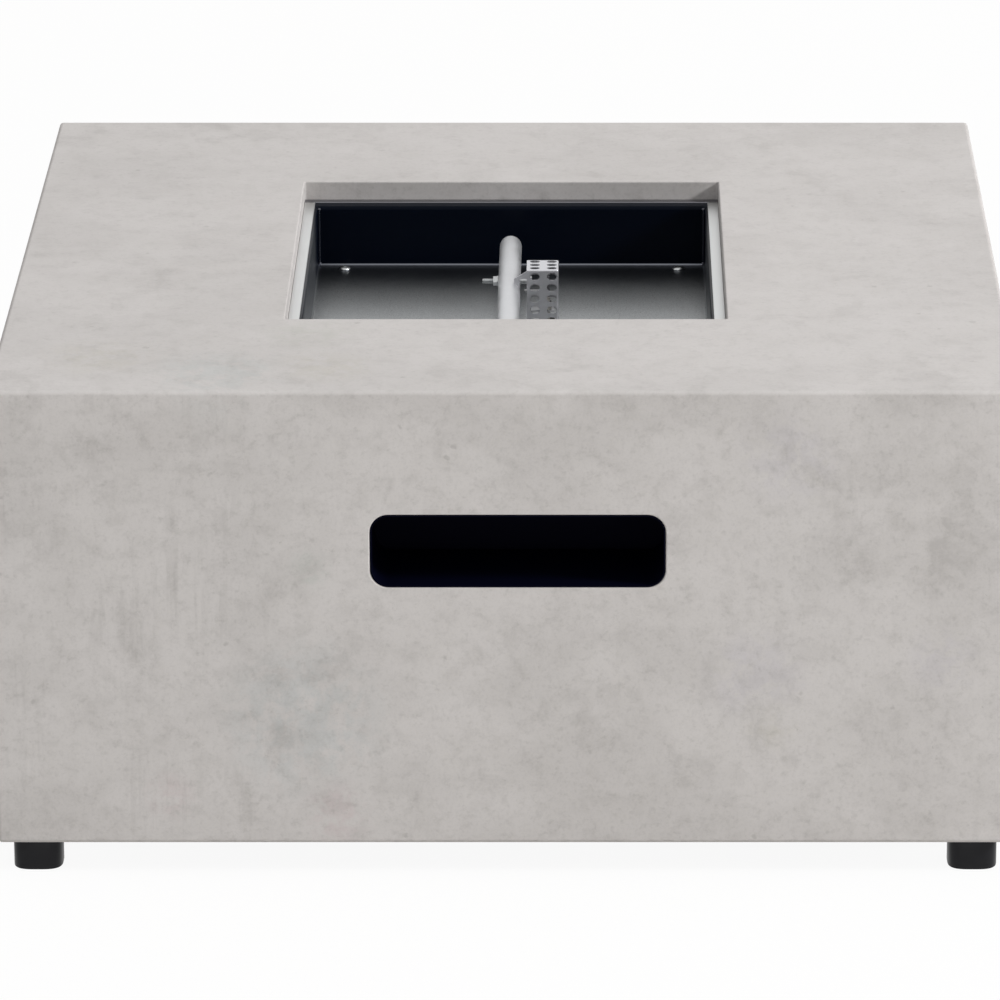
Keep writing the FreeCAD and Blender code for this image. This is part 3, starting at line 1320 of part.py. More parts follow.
back_panel = -(recess_depth - liner_sheet)
panel_rear = -recess_depth
valve_face = panel_rear - valve_gap
valve_rear = valve_face - valve_length
stem_tip_in = valve_face - plug_setback - plug_length - 2
plug_top = valve_face - plug_setback
boss_end = back_panel + boss_reach
valve_spring_foot = valve_face - valve_spring_room
collar_top = boss_end - stem_collar_drop
button_low = back_panel - button_stem
button_socket = button_low - button_travel - button_spring_room
knob_base = back_panel + knob_lift
knob_top = knob_base + knob_height


def at_knob(item):
    return place(item, half_width, knob_shift, slot_middle, facing(90))


def at_button(item):
    return place(item, half_width, button_shift, slot_middle, facing(90))


def make_valve_body():
    body = new_body("gas_valve_body")
    half = valve_width / 2
    outline = new_sketch(body, "valve_outline", "XY_Plane", valve_face)
    rectangle(outline, -half, half, -half, half)
    pad(body, "valve_block", outline, valve_length, flip=True)
    boss = new_sketch(body, "valve_boss_outline", "XY_Plane", valve_face)
    circle(boss, 0, 0, boss_radius)
    pad(body, "valve_boss", boss, boss_end - valve_face)
    outlet = new_sketch(body, "valve_outlet_outline", "XY_Plane", valve_rear)
    circle(outlet, 0, 0, flare_radius)
    pad(body, "valve_outlet", outlet, flare_length, flip=True)
    bore = new_sketch(body, "valve_bore_outline", "XY_Plane", boss_end)
    circle(bore, 0, 0, stem_radius + thread_gap)
    pocket(body, "valve_bore", bore, boss_end - stem_tip_in + knob_travel + stem_end_room)
    room = new_sketch(body, "valve_spring_room_outline", "XY_Plane", boss_end)
    circle(room, 0, 0, stem_collar + thread_gap)
    pocket(body, "valve_spring_room_bore", room, boss_end - valve_spring_foot)
    cavity = new_sketch(body, "plug_cavity_profile", "XZ_Plane")
    polygon(cavity, [(0, plug_top - plug_length - thread_gap),
                     (plug_radius + thread_gap, plug_top - plug_length - thread_gap),
                     (plug_radius + thread_gap, plug_top + thread_gap), (0, plug_top + thread_gap)])

    def settings(feature):
        feature.ReferenceAxis = (cavity, ["V_Axis"])
        feature.Angle = 360
    cut_feature(body, "PartDesign::Groove", "plug_cavity", cavity, settings)
    way = new_sketch(body, "valve_way_outline", "XY_Plane", valve_rear - flare_length)
    circle(way, 0, 0, flare_bore)
    pocket(body, "valve_way", way, flare_length + flare_bore, flip=True)
    return at_knob(body)


def make_gas_inlet():
    """A male flare fitting under the valve, where the supply hose screws on."""
    body = new_body("gas_inlet_fitting")
    collar = new_sketch(body, "inlet_collar_outline", "XY_Plane")
    hexagon(collar, orifice_flats)
    pad(body, "inlet_collar", collar, orifice_hex, flip=True)
    thread = new_sketch(body, "inlet_thread_outline", "XY_Plane", -orifice_hex)
    circle(thread, 0, 0, flare_radius)
    pad(body, "inlet_thread", thread, flare_length, flip=True)
    way = new_sketch(body, "inlet_way_outline", "XY_Plane")
    circle(way, 0, 0, flare_bore)
    pocket(body, "inlet_way", way)
    return place(body, half_width + (valve_face + valve_rear) / 2, knob_shift,
                 slot_middle - valve_width / 2)


def make_valve_plug():
    body = new_body("valve_plug")
    bore = stem_radius + thread_gap
    turned(body, "plug_turned", [(bore, plug_top - plug_length), (plug_radius, plug_top - plug_length),
                                 (plug_radius, plug_top), (bore, plug_top)])
    port = new_sketch(body, "plug_port_outline", "XZ_Plane")
    circle(port, 0, plug_top - plug_length / 2, flare_bore)
    pocket(body, "plug_port", port, plug_radius * 4, both_ways=True)
    return at_knob(body)


def make_valve_stem():
    body = new_body("valve_stem")
    tip = knob_top - knob_wall
    turned(body, "stem_turned", [
        (0, stem_tip_in), (stem_radius, stem_tip_in), (stem_radius, collar_top - stem_collar_height),
        (stem_collar, collar_top - stem_collar_height), (stem_collar, collar_top),
        (stem_radius, collar_top), (stem_radius, tip), (0, tip)])
    flat = new_sketch(body, "stem_flat_outline", "XY_Plane", tip)
    rectangle(flat, stem_flat, stem_radius * 2, -stem_radius * 2, stem_radius * 2)
    pocket(body, "stem_flat", flat, stem_flat_length)
    return at_knob(body)


def make_valve_spring():
    return at_knob(make_spring("valve_spring", valve_spring_radius, valve_spring_wire,
                               valve_spring_foot, collar_top - stem_collar_height, spring_turns))


def make_knob():
    body = new_body("control_knob")
    bore = stem_radius + thread_gap
    stem_end = knob_top - knob_wall
    nut_room = panel_nut_flats / math.sqrt(3) + knob_nut_room
    turned(body, "knob_turned", [
        (nut_room, knob_base), (knob_skirt, knob_base),
        (knob_skirt, knob_base + knob_skirt_side),
        (knob_skirt - knob_draft, knob_base + knob_skirt_height),
        (knob_radius + knob_draft, knob_base + knob_skirt_height),
        (knob_radius, knob_top - knob_draft), (knob_radius - knob_draft, knob_top), (0, knob_top),
        (0, stem_end), (bore, stem_end),
        (bore, knob_base + knob_skirt_height), (nut_room, knob_base + knob_skirt_height)])
    flute = new_sketch(body, "knob_flute_outline", "XY_Plane", knob_top)
    circle(flute, flute_centre, 0, flute_radius)
    first = pocket(body, "knob_flute", flute, knob_height - knob_skirt_height - knob_draft)
    flutes = body.newObject("PartDesign::PolarPattern", "knob_flutes")
    flutes.Originals = [first]
    flutes.Axis = (flute, ["N_Axis"])
    flutes.Angle = 360
    flutes.Occurrences = flute_count
    body.Tip = flutes
    doc.recompute()
    line = new_sketch(body, "knob_pointer_outline", "XY_Plane", knob_top)
    rectangle(line, -pointer_width / 2, pointer_width / 2, pointer_start, pointer_end)
    pocket(body, "knob_pointer", line, pointer_depth)
    return at_knob(body)


def make_panel_nut():
    outer = hex_prism("panel_nut_block", panel_nut_flats, panel_nut_height, z=back_panel)
    inner = cylinder("panel_nut_bore", boss_radius + thread_gap, panel_nut_height, z=back_panel)
    return at_knob(take("valve_panel_nut", outer, inner))


def make_igniter_body():
    body = new_body("igniter_body")
    bore = button_radius + thread_gap
    turned(body, "igniter_turned", [
        (0, panel_rear - igniter_length), (igniter_radius, panel_rear - igniter_length),
        (igniter_radius, back_panel), (bezel_radius, back_panel),
        (bezel_radius - bezel_slope, back_panel + bezel_height), (bore, back_panel + bezel_height),
        (bore, button_socket), (0, button_socket)])
    terminal = new_sketch(body, "igniter_terminal_outline", "XY_Plane", panel_rear - igniter_length)
    circle(terminal, 0, 0, terminal_radius)
    pad(body, "igniter_terminal", terminal, terminal_length, flip=True)
    return at_button(body)


def make_igniter_nut():
    low = panel_rear - igniter_nut_height
    outer = hex_prism("igniter_nut_block", igniter_nut_flats, igniter_nut_height, z=low)
    inner = cylinder("igniter_nut_bore", igniter_radius + thread_gap, igniter_nut_height, z=low)
    return at_button(take("igniter_nut", outer, inner))


def make_button():
    body = new_body("igniter_button")
    top = back_panel + bezel_height + button_height
    turned(body, "button_turned", [
        (0, button_low), (button_radius, button_low), (button_radius, top - button_crown),
        (button_radius - button_crown, top), (button_radius / 2, top - button_dish / 2),
        (0, top - button_dish)])
    return at_button(body)


def make_button_spring():
    return at_button(make_spring("button_spring", button_spring_radius, button_spring_wire,
                                 button_socket, button_low, spring_turns))


# The gas line and the small leads between valve, igniter and burner

valve_outlet_x = half_width + valve_rear - flare_length
orifice_end_z = mixer_bottom - orifice_hex - flare_length
line_radius = size("line_radius", 4.75, "gas line, 3/8 inch")
line_nut_length = size("line_nut_length", 20, "flare nut")


def line_nut_master():
    """A flare nut: wide thread at its origin, narrow way for the line at its far end."""
    body = new_body("line_nut_master")
    thread = flare_length - flare_run_out
    block_sketch = new_sketch(body, "line_nut_outline", "XY_Plane")
    hexagon(block_sketch, orifice_flats)
    pad(body, "line_nut_block", block_sketch, line_nut_length)
    mouth = new_sketch(body, "line_nut_mouth", "XY_Plane")
    circle(mouth, 0, 0, flare_radius + thread_gap)
    pocket(body, "line_nut_thread", mouth, thread, flip=True)
    way = new_sketch(body, "line_nut_way", "XY_Plane")
    circle(way, 0, 0, line_radius + thread_gap)
    pocket(body, "line_nut_bore", way, flip=True)
    return body


def make_line_nuts():
    thread = flare_length - flare_run_out
    return linked_group("flare_nuts", line_nut_master(), [
        (valve_outlet_x + thread, knob_shift, slot_middle, Rotation(Vector(0, 1, 0), -90)),
        (0, 0, orifice_end_z + thread, down)])


def make_gas_line():
    start, level = valve_outlet_x, slot_middle
    end = orifice_end_z
    return make_lead("gas_line", [
        (start, knob_shift, level), (start - 56, knob_shift, level),
        (start - 104, knob_shift + 3, level - 44), (start - 150, knob_shift + 7, level - 96),
        (start - 196, knob_shift + 12, level - 136), (start - 248, knob_shift + 19, level - 158),
        (start - 300, knob_shift + 31, level - 148), (0, 0, end - 52), (0, 0, end)], line_radius)


def make_ignition_wire():
    x, y = probe_spots()[0]
    end_x = half_width + panel_rear - igniter_length - terminal_length
    top = pan_floor + insulator_foot
    return make_lead("ignition_wire", [
        (x, y, top), (x, y, top - 40), (x + 22, y + 6, top - 76), (x + 64, y + 12, top - 94),
        (x + 112, y + 19, top - 92), (x + 160, y + 25, top - 84), (x + 208, y + 31, top - 78),
        (x + 254, button_shift, slot_middle), (end_x, button_shift, slot_middle)], wire_radius)


def make_thermocouple_lead():
    x, y = probe_spots()[1]
    end_x = half_width + valve_rear
    corner_inset = valve_width / 2 - lead_radius * 3
    end_y, end_z = knob_shift + corner_inset, slot_middle + corner_inset
    top = pan_floor + insulator_foot
    return make_lead("thermocouple_lead", [
        (x, y, top), (x, y, top - 38), (x + 18, y + 8, top - 80), (x + 56, y + 6, top - 112),
        (x + 108, y - 8, top - 116), (x + 160, y - 26, top - 98), (x + 208, y - 44, top - 78),
        (x + 256, y - 58, top - 66), (x + 292, end_y, end_z), (end_x, end_y, end_z)], lead_radius)


# Feet

def make_foot_plate(label, side_x, side_y):
    """A steel plate under a corner block, with its origin where the two walls meet inside."""
    body = new_body("foot_plate_" + label)
    near_edge, far_edge = plate_margin, gusset_size - plate_margin
    outline = new_sketch(body, f"plate_{label}_outline", "XY_Plane")
    points = [(near_edge, near_edge), (far_edge, near_edge), (far_edge, far_edge - gusset_cut),
              (far_edge - gusset_cut, far_edge), (near_edge, far_edge)]
    polygon(outline, [(-side_x * x, -side_y * y) for x, y in points])
    pad(body, f"plate_{label}_sheet", outline, plate_sheet)
    holes = new_sketch(body, f"plate_{label}_holes", "XY_Plane", plate_sheet)
    for x, y in plate_bolt_spots():
        circle(holes, -side_x * x, -side_y * y, bolt_radius + hole_room)
    inset = foot_inset - wall
    circle(holes, -side_x * inset, -side_y * inset, stud_radius + hole_room)
    pocket(body, f"plate_{label}_ways", holes, plate_sheet)
    return place(body, side_x * (half_width - wall), side_y * (half_depth - wall), plate_under)


def make_foot_pad(label, side_x, side_y):
    body = new_body("foot_pad_" + label)
    top = foot_gap - foot_clear
    socket = stud_radius + thread_gap
    socket_floor = plate_under - stud_socket - foot_crown
    inner = foot_radius - foot_crown
    turned(body, f"foot_{label}_turned", [
        (0, 0), (inner, 0), (foot_radius, foot_crown), (foot_radius, top - foot_crown / 2),
        (foot_radius - foot_crown / 2, top), (socket, top), (socket, socket_floor), (0, socket_floor)])
    groove = new_sketch(body, f"foot_{label}_rib_outline", "XY_Plane", top)
    circle(groove, foot_radius, 0, rib_radius)
    first = pocket(body, f"foot_{label}_rib", groove, top)
    ribs = body.newObject("PartDesign::PolarPattern", f"foot_{label}_ribs")
    ribs.Originals = [first]
    ribs.Axis = (groove, ["N_Axis"])
    ribs.Angle = 360
    ribs.Occurrences = rib_count
    body.Tip = ribs
    doc.recompute()
    return place(body, side_x * foot_x, side_y * foot_y, 0)


def make_foot_stud(label, side_x, side_y):
    socket_floor = plate_under - stud_socket - foot_crown
    low = socket_floor + thread_gap
    shank = cylinder(f"stud_{label}_shank", stud_radius, gusset_under + stud_reach - low, z=low)
    collar_low = foot_gap - foot_clear + thread_gap
    collar = hex_prism(f"stud_{label}_collar", stud_flats, plate_under - collar_low, z=collar_low)
    stud = join("foot_stud_" + label, [shank, collar])
    return place(stud, side_x * foot_x, side_y * foot_y, 0)


def make_plate_nuts():
    outer = hex_prism("plate_nut_block", plate_nut_flats, plate_nut_height)
    inner = cylinder("plate_nut_bore", stud_radius + thread_gap, plate_nut_height)
    master = take("plate_nut_master", outer, inner)
    return linked_group("foot_nuts", master, [
        (side_x * foot_x, side_y * foot_y, gusset_under, up) for _, side_x, side_y in corners])


# Groups of like fasteners

def plate_bolt_places(height, turn):
    return [(side_x * (half_width - wall - from_x), side_y * (half_depth - wall - from_y), height, turn)
            for _, side_x, side_y in corners for from_x, from_y in plate_bolt_spots()]


def hanger_places(height, turn):
    return [(side_x * hanger_x(), side_y * strap_line, height, turn)
            for side_x in (-1, 1) for side_y in (-1, 1)]


def liner_places(inward):
    """Every liner and control box screw spot, at a depth behind the wall's outer face."""
    places = []
    for across, up_down in slot_screw_spots():
        height = slot_middle + up_down
        places.append((*at_face(0, slot_shift + across, height, inward), facing(180)))
        places.append((*at_face(180, -slot_shift + across, height, inward), facing(0)))
    for across, up_down in recess_screw_spots():
        places.append((*at_face(90, across, slot_middle + up_down, inward), facing(270)))
    return places


def pan_screw_places():
    places = [(side_x * pan_screw_x, side_y * strap_line, pan_floor, up)
              for side_x in (-1, 1) for side_y in (-1, 1)]
    support_y = support_shift + support_foot / 2 + support_sheet / 2
    return places + [(0, side_y * support_y, pan_floor + support_sheet, up) for side_y in (-1, 1)]


def strap_nut_places():
    low = pan_under - strap_sheet - strap_nut_height
    return [(side_x * pan_screw_x, side_y * strap_line, low, up)
            for side_x in (-1, 1) for side_y in (-1, 1)]


nodes = [
    make_shell(),
    make_slot_liner("slot_liner_front", 0, slot_shift),
    make_slot_liner("slot_liner_rear", 180, -slot_shift),
    make_control_box(),
    make_pan(),
    make_trim(),
    make_strap("pan_strap_front", -1),
    make_strap("pan_strap_rear", 1),
    make_tube(),
    make_support("burner_support_rear", 0),
    make_support("burner_support_front", 180),
    make_nipple(),
    make_locknuts(),
    make_mixer(),
    make_shutter(),
    make_orifice(),
    make_guard(),
    make_guard_bolt(),
    make_guard_nut(),
    make_guard_washer(),
    make_probe_bracket(),
    make_insulator(),
    make_electrode_rod(),
    make_thermocouple(),
    make_grommets(),
    make_valve_body(),
    make_gas_inlet(),
    make_valve_plug(),
    make_valve_stem(),
    make_valve_spring(),
    make_knob(),
    make_panel_nut(),
    make_igniter_body(),
    make_igniter_nut(),
    make_button(),
    make_button_spring(),
    make_line_nuts(),
    make_gas_line(),
    make_ignition_wire(),
    make_thermocouple_lead(),
    make_plate_nuts(),
    linked_group("pan_screws", pan_screw, pan_screw_places()),
    linked_group("liner_screws", wall_screw, liner_places(wall + liner_sheet)),
    linked_group("strap_nuts", strap_nut_master(), strap_nut_places()),
    linked_group("hanger_bolts", bolt, hanger_places(panel_underside - strap_sheet, down)),
    linked_group("plate_bolts", bolt, plate_bolt_places(plate_under, down)),
    linked_group("small_inserts", small_insert, liner_places(wall)),
    linked_group("large_inserts", large_insert,
                 plate_bolt_places(gusset_under, down) + hanger_places(panel_underside, down)),
]
for corner_label, corner_x, corner_y in corners:
    nodes.append(make_foot_plate(corner_label, corner_x, corner_y))
    nodes.append(make_foot_pad(corner_label, corner_x, corner_y))
    nodes.append(make_foot_stud(corner_label, corner_x, corner_y))

doc.recompute()
for item in doc.Objects:
    if any(state in ("Invalid", "Error") for state in item.State):
        raise RuntimeError(f"{item.Name} failed: {item.State}")
for node in nodes:
    if node.Shape.isNull() or not node.Shape.isValid() or not node.Shape.Solids:
        raise RuntimeError(f"{node.Label} has no valid shape")

os.makedirs("parts", exist_ok=True)
for node in nodes:
    node.Shape.exportStep(f"parts/{node.Label}.step")
print(f"{len(nodes)} nodes written")
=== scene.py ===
import json
import math
import random

import bpy
from mathutils import Matrix, Vector


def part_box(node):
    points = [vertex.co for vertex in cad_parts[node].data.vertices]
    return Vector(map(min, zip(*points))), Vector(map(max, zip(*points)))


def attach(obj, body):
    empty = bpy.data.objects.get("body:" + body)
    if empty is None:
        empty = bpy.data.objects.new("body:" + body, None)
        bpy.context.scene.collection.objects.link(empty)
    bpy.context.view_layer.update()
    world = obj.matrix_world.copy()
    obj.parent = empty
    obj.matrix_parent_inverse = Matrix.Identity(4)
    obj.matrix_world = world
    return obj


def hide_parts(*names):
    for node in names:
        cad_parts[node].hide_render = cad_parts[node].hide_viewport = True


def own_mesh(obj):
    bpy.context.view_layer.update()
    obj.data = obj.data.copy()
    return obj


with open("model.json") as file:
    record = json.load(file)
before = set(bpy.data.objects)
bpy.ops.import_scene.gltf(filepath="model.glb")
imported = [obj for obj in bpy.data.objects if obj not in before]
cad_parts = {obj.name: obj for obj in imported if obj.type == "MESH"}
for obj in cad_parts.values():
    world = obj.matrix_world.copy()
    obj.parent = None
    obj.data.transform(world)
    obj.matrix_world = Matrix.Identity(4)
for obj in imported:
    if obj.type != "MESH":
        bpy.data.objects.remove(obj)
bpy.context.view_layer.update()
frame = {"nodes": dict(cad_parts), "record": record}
nodes = frame["nodes"]
print("frame loaded:", len(nodes), "nodes")

mm = 0.001
rng = random.Random(11)
still = Matrix.Identity(4)
noiseLow, noiseHigh = 0.3, 0.7     # nearly all of a noise texture lies between these


def linearColour(hexColour):
    # sRGB hex to the linear numbers that the shaders want
    channels = [int(hexColour[i:i + 2], 16) / 255 for i in (1, 3, 5)]
    linear = [c / 12.92 if c <= 0.04045 else ((c + 0.055) / 1.055) ** 2.4 for c in channels]
    return (*linear, 1.0)


def addNode(tree, kind, inputs=None, **settings):
    # one shader node: settings are its own options, inputs are numbers, colours or sockets to link
    node = tree.nodes.new("ShaderNode" + kind)
    for name, value in settings.items():
        setattr(node, name, value)
    for name, value in (inputs or {}).items():
        if isinstance(value, bpy.types.NodeSocket):
            tree.links.new(value, node.inputs[name])
        else:
            node.inputs[name].default_value = value
    return node


def startMaterial(name, **sockets):
    # a Principled surface with constant sockets, and the object's own coordinates in millimetres
    material = bpy.data.materials.new(name)
    material.use_nodes = True
    tree = material.node_tree
    tree.nodes.clear()
    shader = addNode(tree, "BsdfPrincipled", {key.replace("_", " "): value for key, value in sockets.items()})
    addNode(tree, "OutputMaterial", {"Surface": shader.outputs[0]})
    place = addNode(tree, "TexCoord")
    spot = addNode(tree, "VectorMath", {0: place.outputs["Object"], 3: 1000.0}, operation="SCALE")
    return material, tree, shader, spot.outputs[0]


# Camera: where the photograph was taken from

cameraPlace = {
    "position": (0.0766, -6.315, 2.282),
    "tiltDegrees": 71.8,       # 90 is level, so it looks down by 18.2
    "lensMm": 250.2,
    "sensorMm": 36,
    "shiftAcross": -0.0898,
    "farthest": 200,
}
cameraData = bpy.data.cameras.new("camera")
cameraData.lens = cameraPlace["lensMm"]
cameraData.sensor_width = cameraPlace["sensorMm"]
cameraData.shift_x = cameraPlace["shiftAcross"]
cameraData.clip_end = cameraPlace["farthest"]
camera = bpy.data.objects.new("camera", cameraData)
camera.location = cameraPlace["position"]
camera.rotation_euler = (math.radians(cameraPlace["tiltDegrees"]), 0, 0)
bpy.context.scene.collection.objects.link(camera)
bpy.context.scene.camera = camera
bpy.context.scene.view_settings.view_transform = "Standard"
print("camera set")


# Cast concrete, lightly rubbed and sealed matt: pale warm grey with clouds, smudges that break up finely,
# sparse pits, a few upright runs where the mix ran down the mould, and faint mineral tints

castConcrete = {
    "light": "#D4D0CE",
    "dark": "#CBC7C4",
    "baseMm": 45,              # size of the lighter and darker areas
    "dirt": "#8B8783",
    "mostDirt": 0.4,
    "dirtOnTop": 0.68,         # share of the dirt that stays on faces turned up, which were rubbed cleaner
    "wallToTop": (0.2, 0.6),   # upward part of the normal where a wall ends and where the top begins
    # for each layer the size of its blots in mm along X, Y and Z, their detail, where they start and are
    # full, and their share of dirt
    "layers": {
        "clouds": ((170, 170, 120), 3.0, 0.42, 0.62, 0.12),
        "mottle": ((24, 24, 20), 9.0, 0.46, 0.68, 0.14),
        "smudges": ((62, 62, 70), 13.0, 0.55, 0.68, 0.17),
        "specks": ((7, 7, 6), 5.0, 0.50, 0.72, 0.16),
        "grain": ((2.6, 2.6, 2.6), 3.0, 0.42, 0.78, 0.12),
    },
    "runs": {
        "broad": ((17, 17, 150), 8.0, 0.48, 0.68, 0.17),
        "narrow": ((7, 7, 110), 6.0, 0.54, 0.72, 0.13),
    },
    "patches": ((90, 90, 110), 4.0, 0.42, 0.60, 1.0),    # break up the runs
    "ragged": ((16, 16, 16), 8.0, 0.38, 0.60, 1.0),      # breaks up the tints
    "blotRoughness": 0.66,
    "blotDistortion": 0.25,
    "runsFrom": (-185, -245),  # in mm across: the runs begin left of the first and are full at the second
    # spacing in mm, largest size as a share of it, share left out, share of dirt
    "flecks": (40, 0.085, 0.5, 0.32),
    "pits": (15, 0.06, 0.66, 0.24),
    "wobbleMm": 4,             # flecks and pits are pushed out of round in waves of this size, by up to
    "wobbleReach": 6.0,        # this many mm
    "markEdge": (-0.02, 0.03), # soft edge of a fleck or pit, as shares of its spacing
    "pitRelief": 6.0,          # depth of a pit beside the grain's
    "bottomEdgeMm": (30.0, 34.0),
    "bottomDirt": 0.4,         # how dark the wall is at the first of these heights; it is unchanged at the second
    # faint tints: colour, middle in mm, reach in mm, share
    "tints": [
        ("#8AA9B0", (-180, -457, 150), 95, 0.15),
        ("#B98F98", (-150, -457, 60), 42, 0.16),
        ("#B98F98", (-301, -457, 76), 30, 0.14),
        ("#8FA89B", (-173, -457, 290), 26, 0.14),
        ("#9C96B4", (225, -457, 190), 60, 0.12),
        ("#9C96B4", (255, -457, 396), 62, 0.10),
        ("#9C96B4", (392, -457, 205), 45, 0.10),
        ("#A9A37C", (238, -457, 146), 34, 0.12),
        ("#A9A37C", (-363, -352, 457), 70, 0.12),
        ("#A9A37C", (-160, -383, 457), 60, 0.12),
        ("#8CAFB0", (-255, -400, 457), 80, 0.12),
        ("#9BAA8F", (-177, -280, 457), 60, 0.12),
    ],
}


def castConcreteMaterial():
    s = castConcrete
    material, tree, shader, spot = startMaterial("castConcrete", Roughness=0.85, IOR=1.5,
                                                 Specular_IOR_Level=0.3)
    place = addNode(tree, "SeparateXYZ", {0: spot})

    def layer(stretch, detail, start, full, share):
        scaled = addNode(tree, "VectorMath", {0: spot, 1: tuple(1 / length for length in stretch)},
                         operation="MULTIPLY")
        noise = addNode(tree, "TexNoise", {"Vector": scaled.outputs[0], "Scale": 1.0, "Detail": detail,
                                           "Roughness": s["blotRoughness"],
                                           "Distortion": s["blotDistortion"]})
        return addNode(tree, "MapRange", {"Value": noise.outputs["Fac"], "From Min": start, "From Max": full,
                                          "To Max": share}, interpolation_type="SMOOTHSTEP").outputs[0]

    found = {name: layer(*values) for name, values in s["layers"].items()}
    # Upright runs, on the walls' left part only, and broken up by patches
    broad, narrow = (layer(*values) for values in s["runs"].values())
    runs = addNode(tree, "Math", {0: broad, 1: narrow}, operation="ADD").outputs[0]
    leftward = addNode(tree, "MapRange", {"Value": place.outputs["X"], "From Min": s["runsFrom"][0],
                                          "From Max": s["runsFrom"][1]}).outputs[0]
    patches = layer(*s["patches"])
    facing = addNode(tree, "SeparateXYZ", {0: addNode(tree, "TexCoord").outputs["Normal"]})
    upright = addNode(tree, "MapRange", {"Value": facing.outputs["Z"], "From Min": s["wallToTop"][0],
                                         "From Max": s["wallToTop"][1], "To Min": 1.0,
                                         "To Max": 0.0}).outputs[0]
    for part in (leftward, patches, upright):
        runs = addNode(tree, "Math", {0: runs, 1: part}, operation="MULTIPLY").outputs[0]
    # Flecks and pits, a few of each
    wobble = addNode(tree, "TexNoise", {"Vector": spot, "Scale": 1 / s["wobbleMm"], "Detail": 3.0})
    wobbled = addNode(tree, "VectorMath", {0: wobble.outputs["Color"], 1: (s["wobbleReach"],) * 3, 2: spot},
                      operation="MULTIPLY_ADD")
    marks = []
    for spacing, size, leftOut, weight in (s["flecks"], s["pits"]):
        cells = addNode(tree, "TexVoronoi", {"Vector": wobbled.outputs[0], "Scale": 1 / spacing})
        chosen = addNode(tree, "SeparateXYZ", {0: cells.outputs["Color"]})
        some = addNode(tree, "Math", {0: chosen.outputs["X"], 1: leftOut}, operation="GREATER_THAN")
        reach = addNode(tree, "Math", {0: chosen.outputs["Y"], 1: size}, operation="MULTIPLY")
        inside = addNode(tree, "Math", {0: reach.outputs[0], 1: cells.outputs["Distance"]},
                         operation="SUBTRACT")
        soft = addNode(tree, "MapRange", {"Value": inside.outputs[0], "From Min": s["markEdge"][0],
                                          "From Max": s["markEdge"][1], "To Max": weight})
        marks.append(addNode(tree, "Math", {0: soft.outputs[0], 1: some.outputs[0]},
                             operation="MULTIPLY").outputs[0])
    # A darker line where the wall meets its lower edge
    dirt = addNode(tree, "MapRange", {"Value": place.outputs["Z"], "From Min": s["bottomEdgeMm"][0],
                                      "From Max": s["bottomEdgeMm"][1], "To Min": s["bottomDirt"],
                                      "To Max": 0.0}).outputs[0]
    for part in [*found.values(), runs, *marks]:
        dirt = addNode(tree, "Math", {0: dirt, 1: part}, operation="ADD").outputs[0]
    base = addNode(tree, "TexNoise", {"Vector": spot, "Scale": 1 / s["baseMm"], "Detail": 6.0,
                                      "Roughness": 0.6})
    colour = addNode(tree, "MixRGB", {"Fac": base.outputs["Fac"], "Color1": linearColour(s["dark"]),
                                      "Color2": linearColour(s["light"])}).outputs[0]
    # Faint tints, all broken up by one noise
    ragged = layer(*s["ragged"])
    for hexColour, middle, reach, share in s["tints"]:
        away = addNode(tree, "VectorMath", {0: spot, 1: middle}, operation="DISTANCE")
        near = addNode(tree, "MapRange", {"Value": away.outputs["Value"], "From Min": 0.25 * reach,
                                          "From Max": reach, "To Min": share, "To Max": 0.0},
                       interpolation_type="SMOOTHSTEP")
        broken = addNode(tree, "Math", {0: near.outputs[0], 1: ragged}, operation="MULTIPLY")
        colour = addNode(tree, "MixRGB", {"Fac": broken.outputs[0], "Color1": colour,
                                          "Color2": linearColour(hexColour)}).outputs[0]
    rubbed = addNode(tree, "MapRange", {"Value": upright, "To Min": s["dirtOnTop"], "To Max": 1.0})
    kept = addNode(tree, "Math", {0: dirt, 1: rubbed.outputs[0]}, operation="MULTIPLY")
    held = addNode(tree, "Math", {0: kept.outputs[0], 1: s["mostDirt"]}, operation="MINIMUM")
    final = addNode(tree, "MixRGB", {"Fac": held.outputs[0], "Color1": colour,
                                     "Color2": linearColour(s["dirt"])})
    tree.links.new(final.outputs[0], shader.inputs["Base Color"])
    relief = addNode(tree, "Math", {0: marks[1], 1: -s["pitRelief"], 2: found["grain"]},
                     operation="MULTIPLY_ADD")
    bump = addNode(tree, "Bump", {"Strength": 0.6, "Distance": 0.25 * mm, "Height": relief.outputs[0]})
    tree.links.new(bump.outputs[0], shader.inputs["Normal"])
    return material


# High temperature stove enamel, sprayed: deep blue black, satin, with fine speckle that shows at a low angle

stoveEnamel = {
    "colour": "#020713", "speck": "#050A15",
    # painted reflection: metallic greys that paint the floor's reflection gradient
    "scaleDark": "#6E7178", "bloomDark": "#B5B8BA", "bloomLight": "#DCDFE0",
    "bloomWall": 196, "bloomFull": 112,      # mm from the middle where the painted reflection has died out, and is full
    "blotchMm": 30, "blotchReach": 20.0,     # its edge wanders in blotches of this size, over this many mm
    "sideBloom": 0.08,                       # how much of it the side walls take
    "wallToFloor": (0.1, 0.4),               # upward part of the normal from a wall to the floor
    "floorTop": 384, "speckMm": 1.1, "peelMm": 2.4,
    "rough": (0.27, 0.35),
}


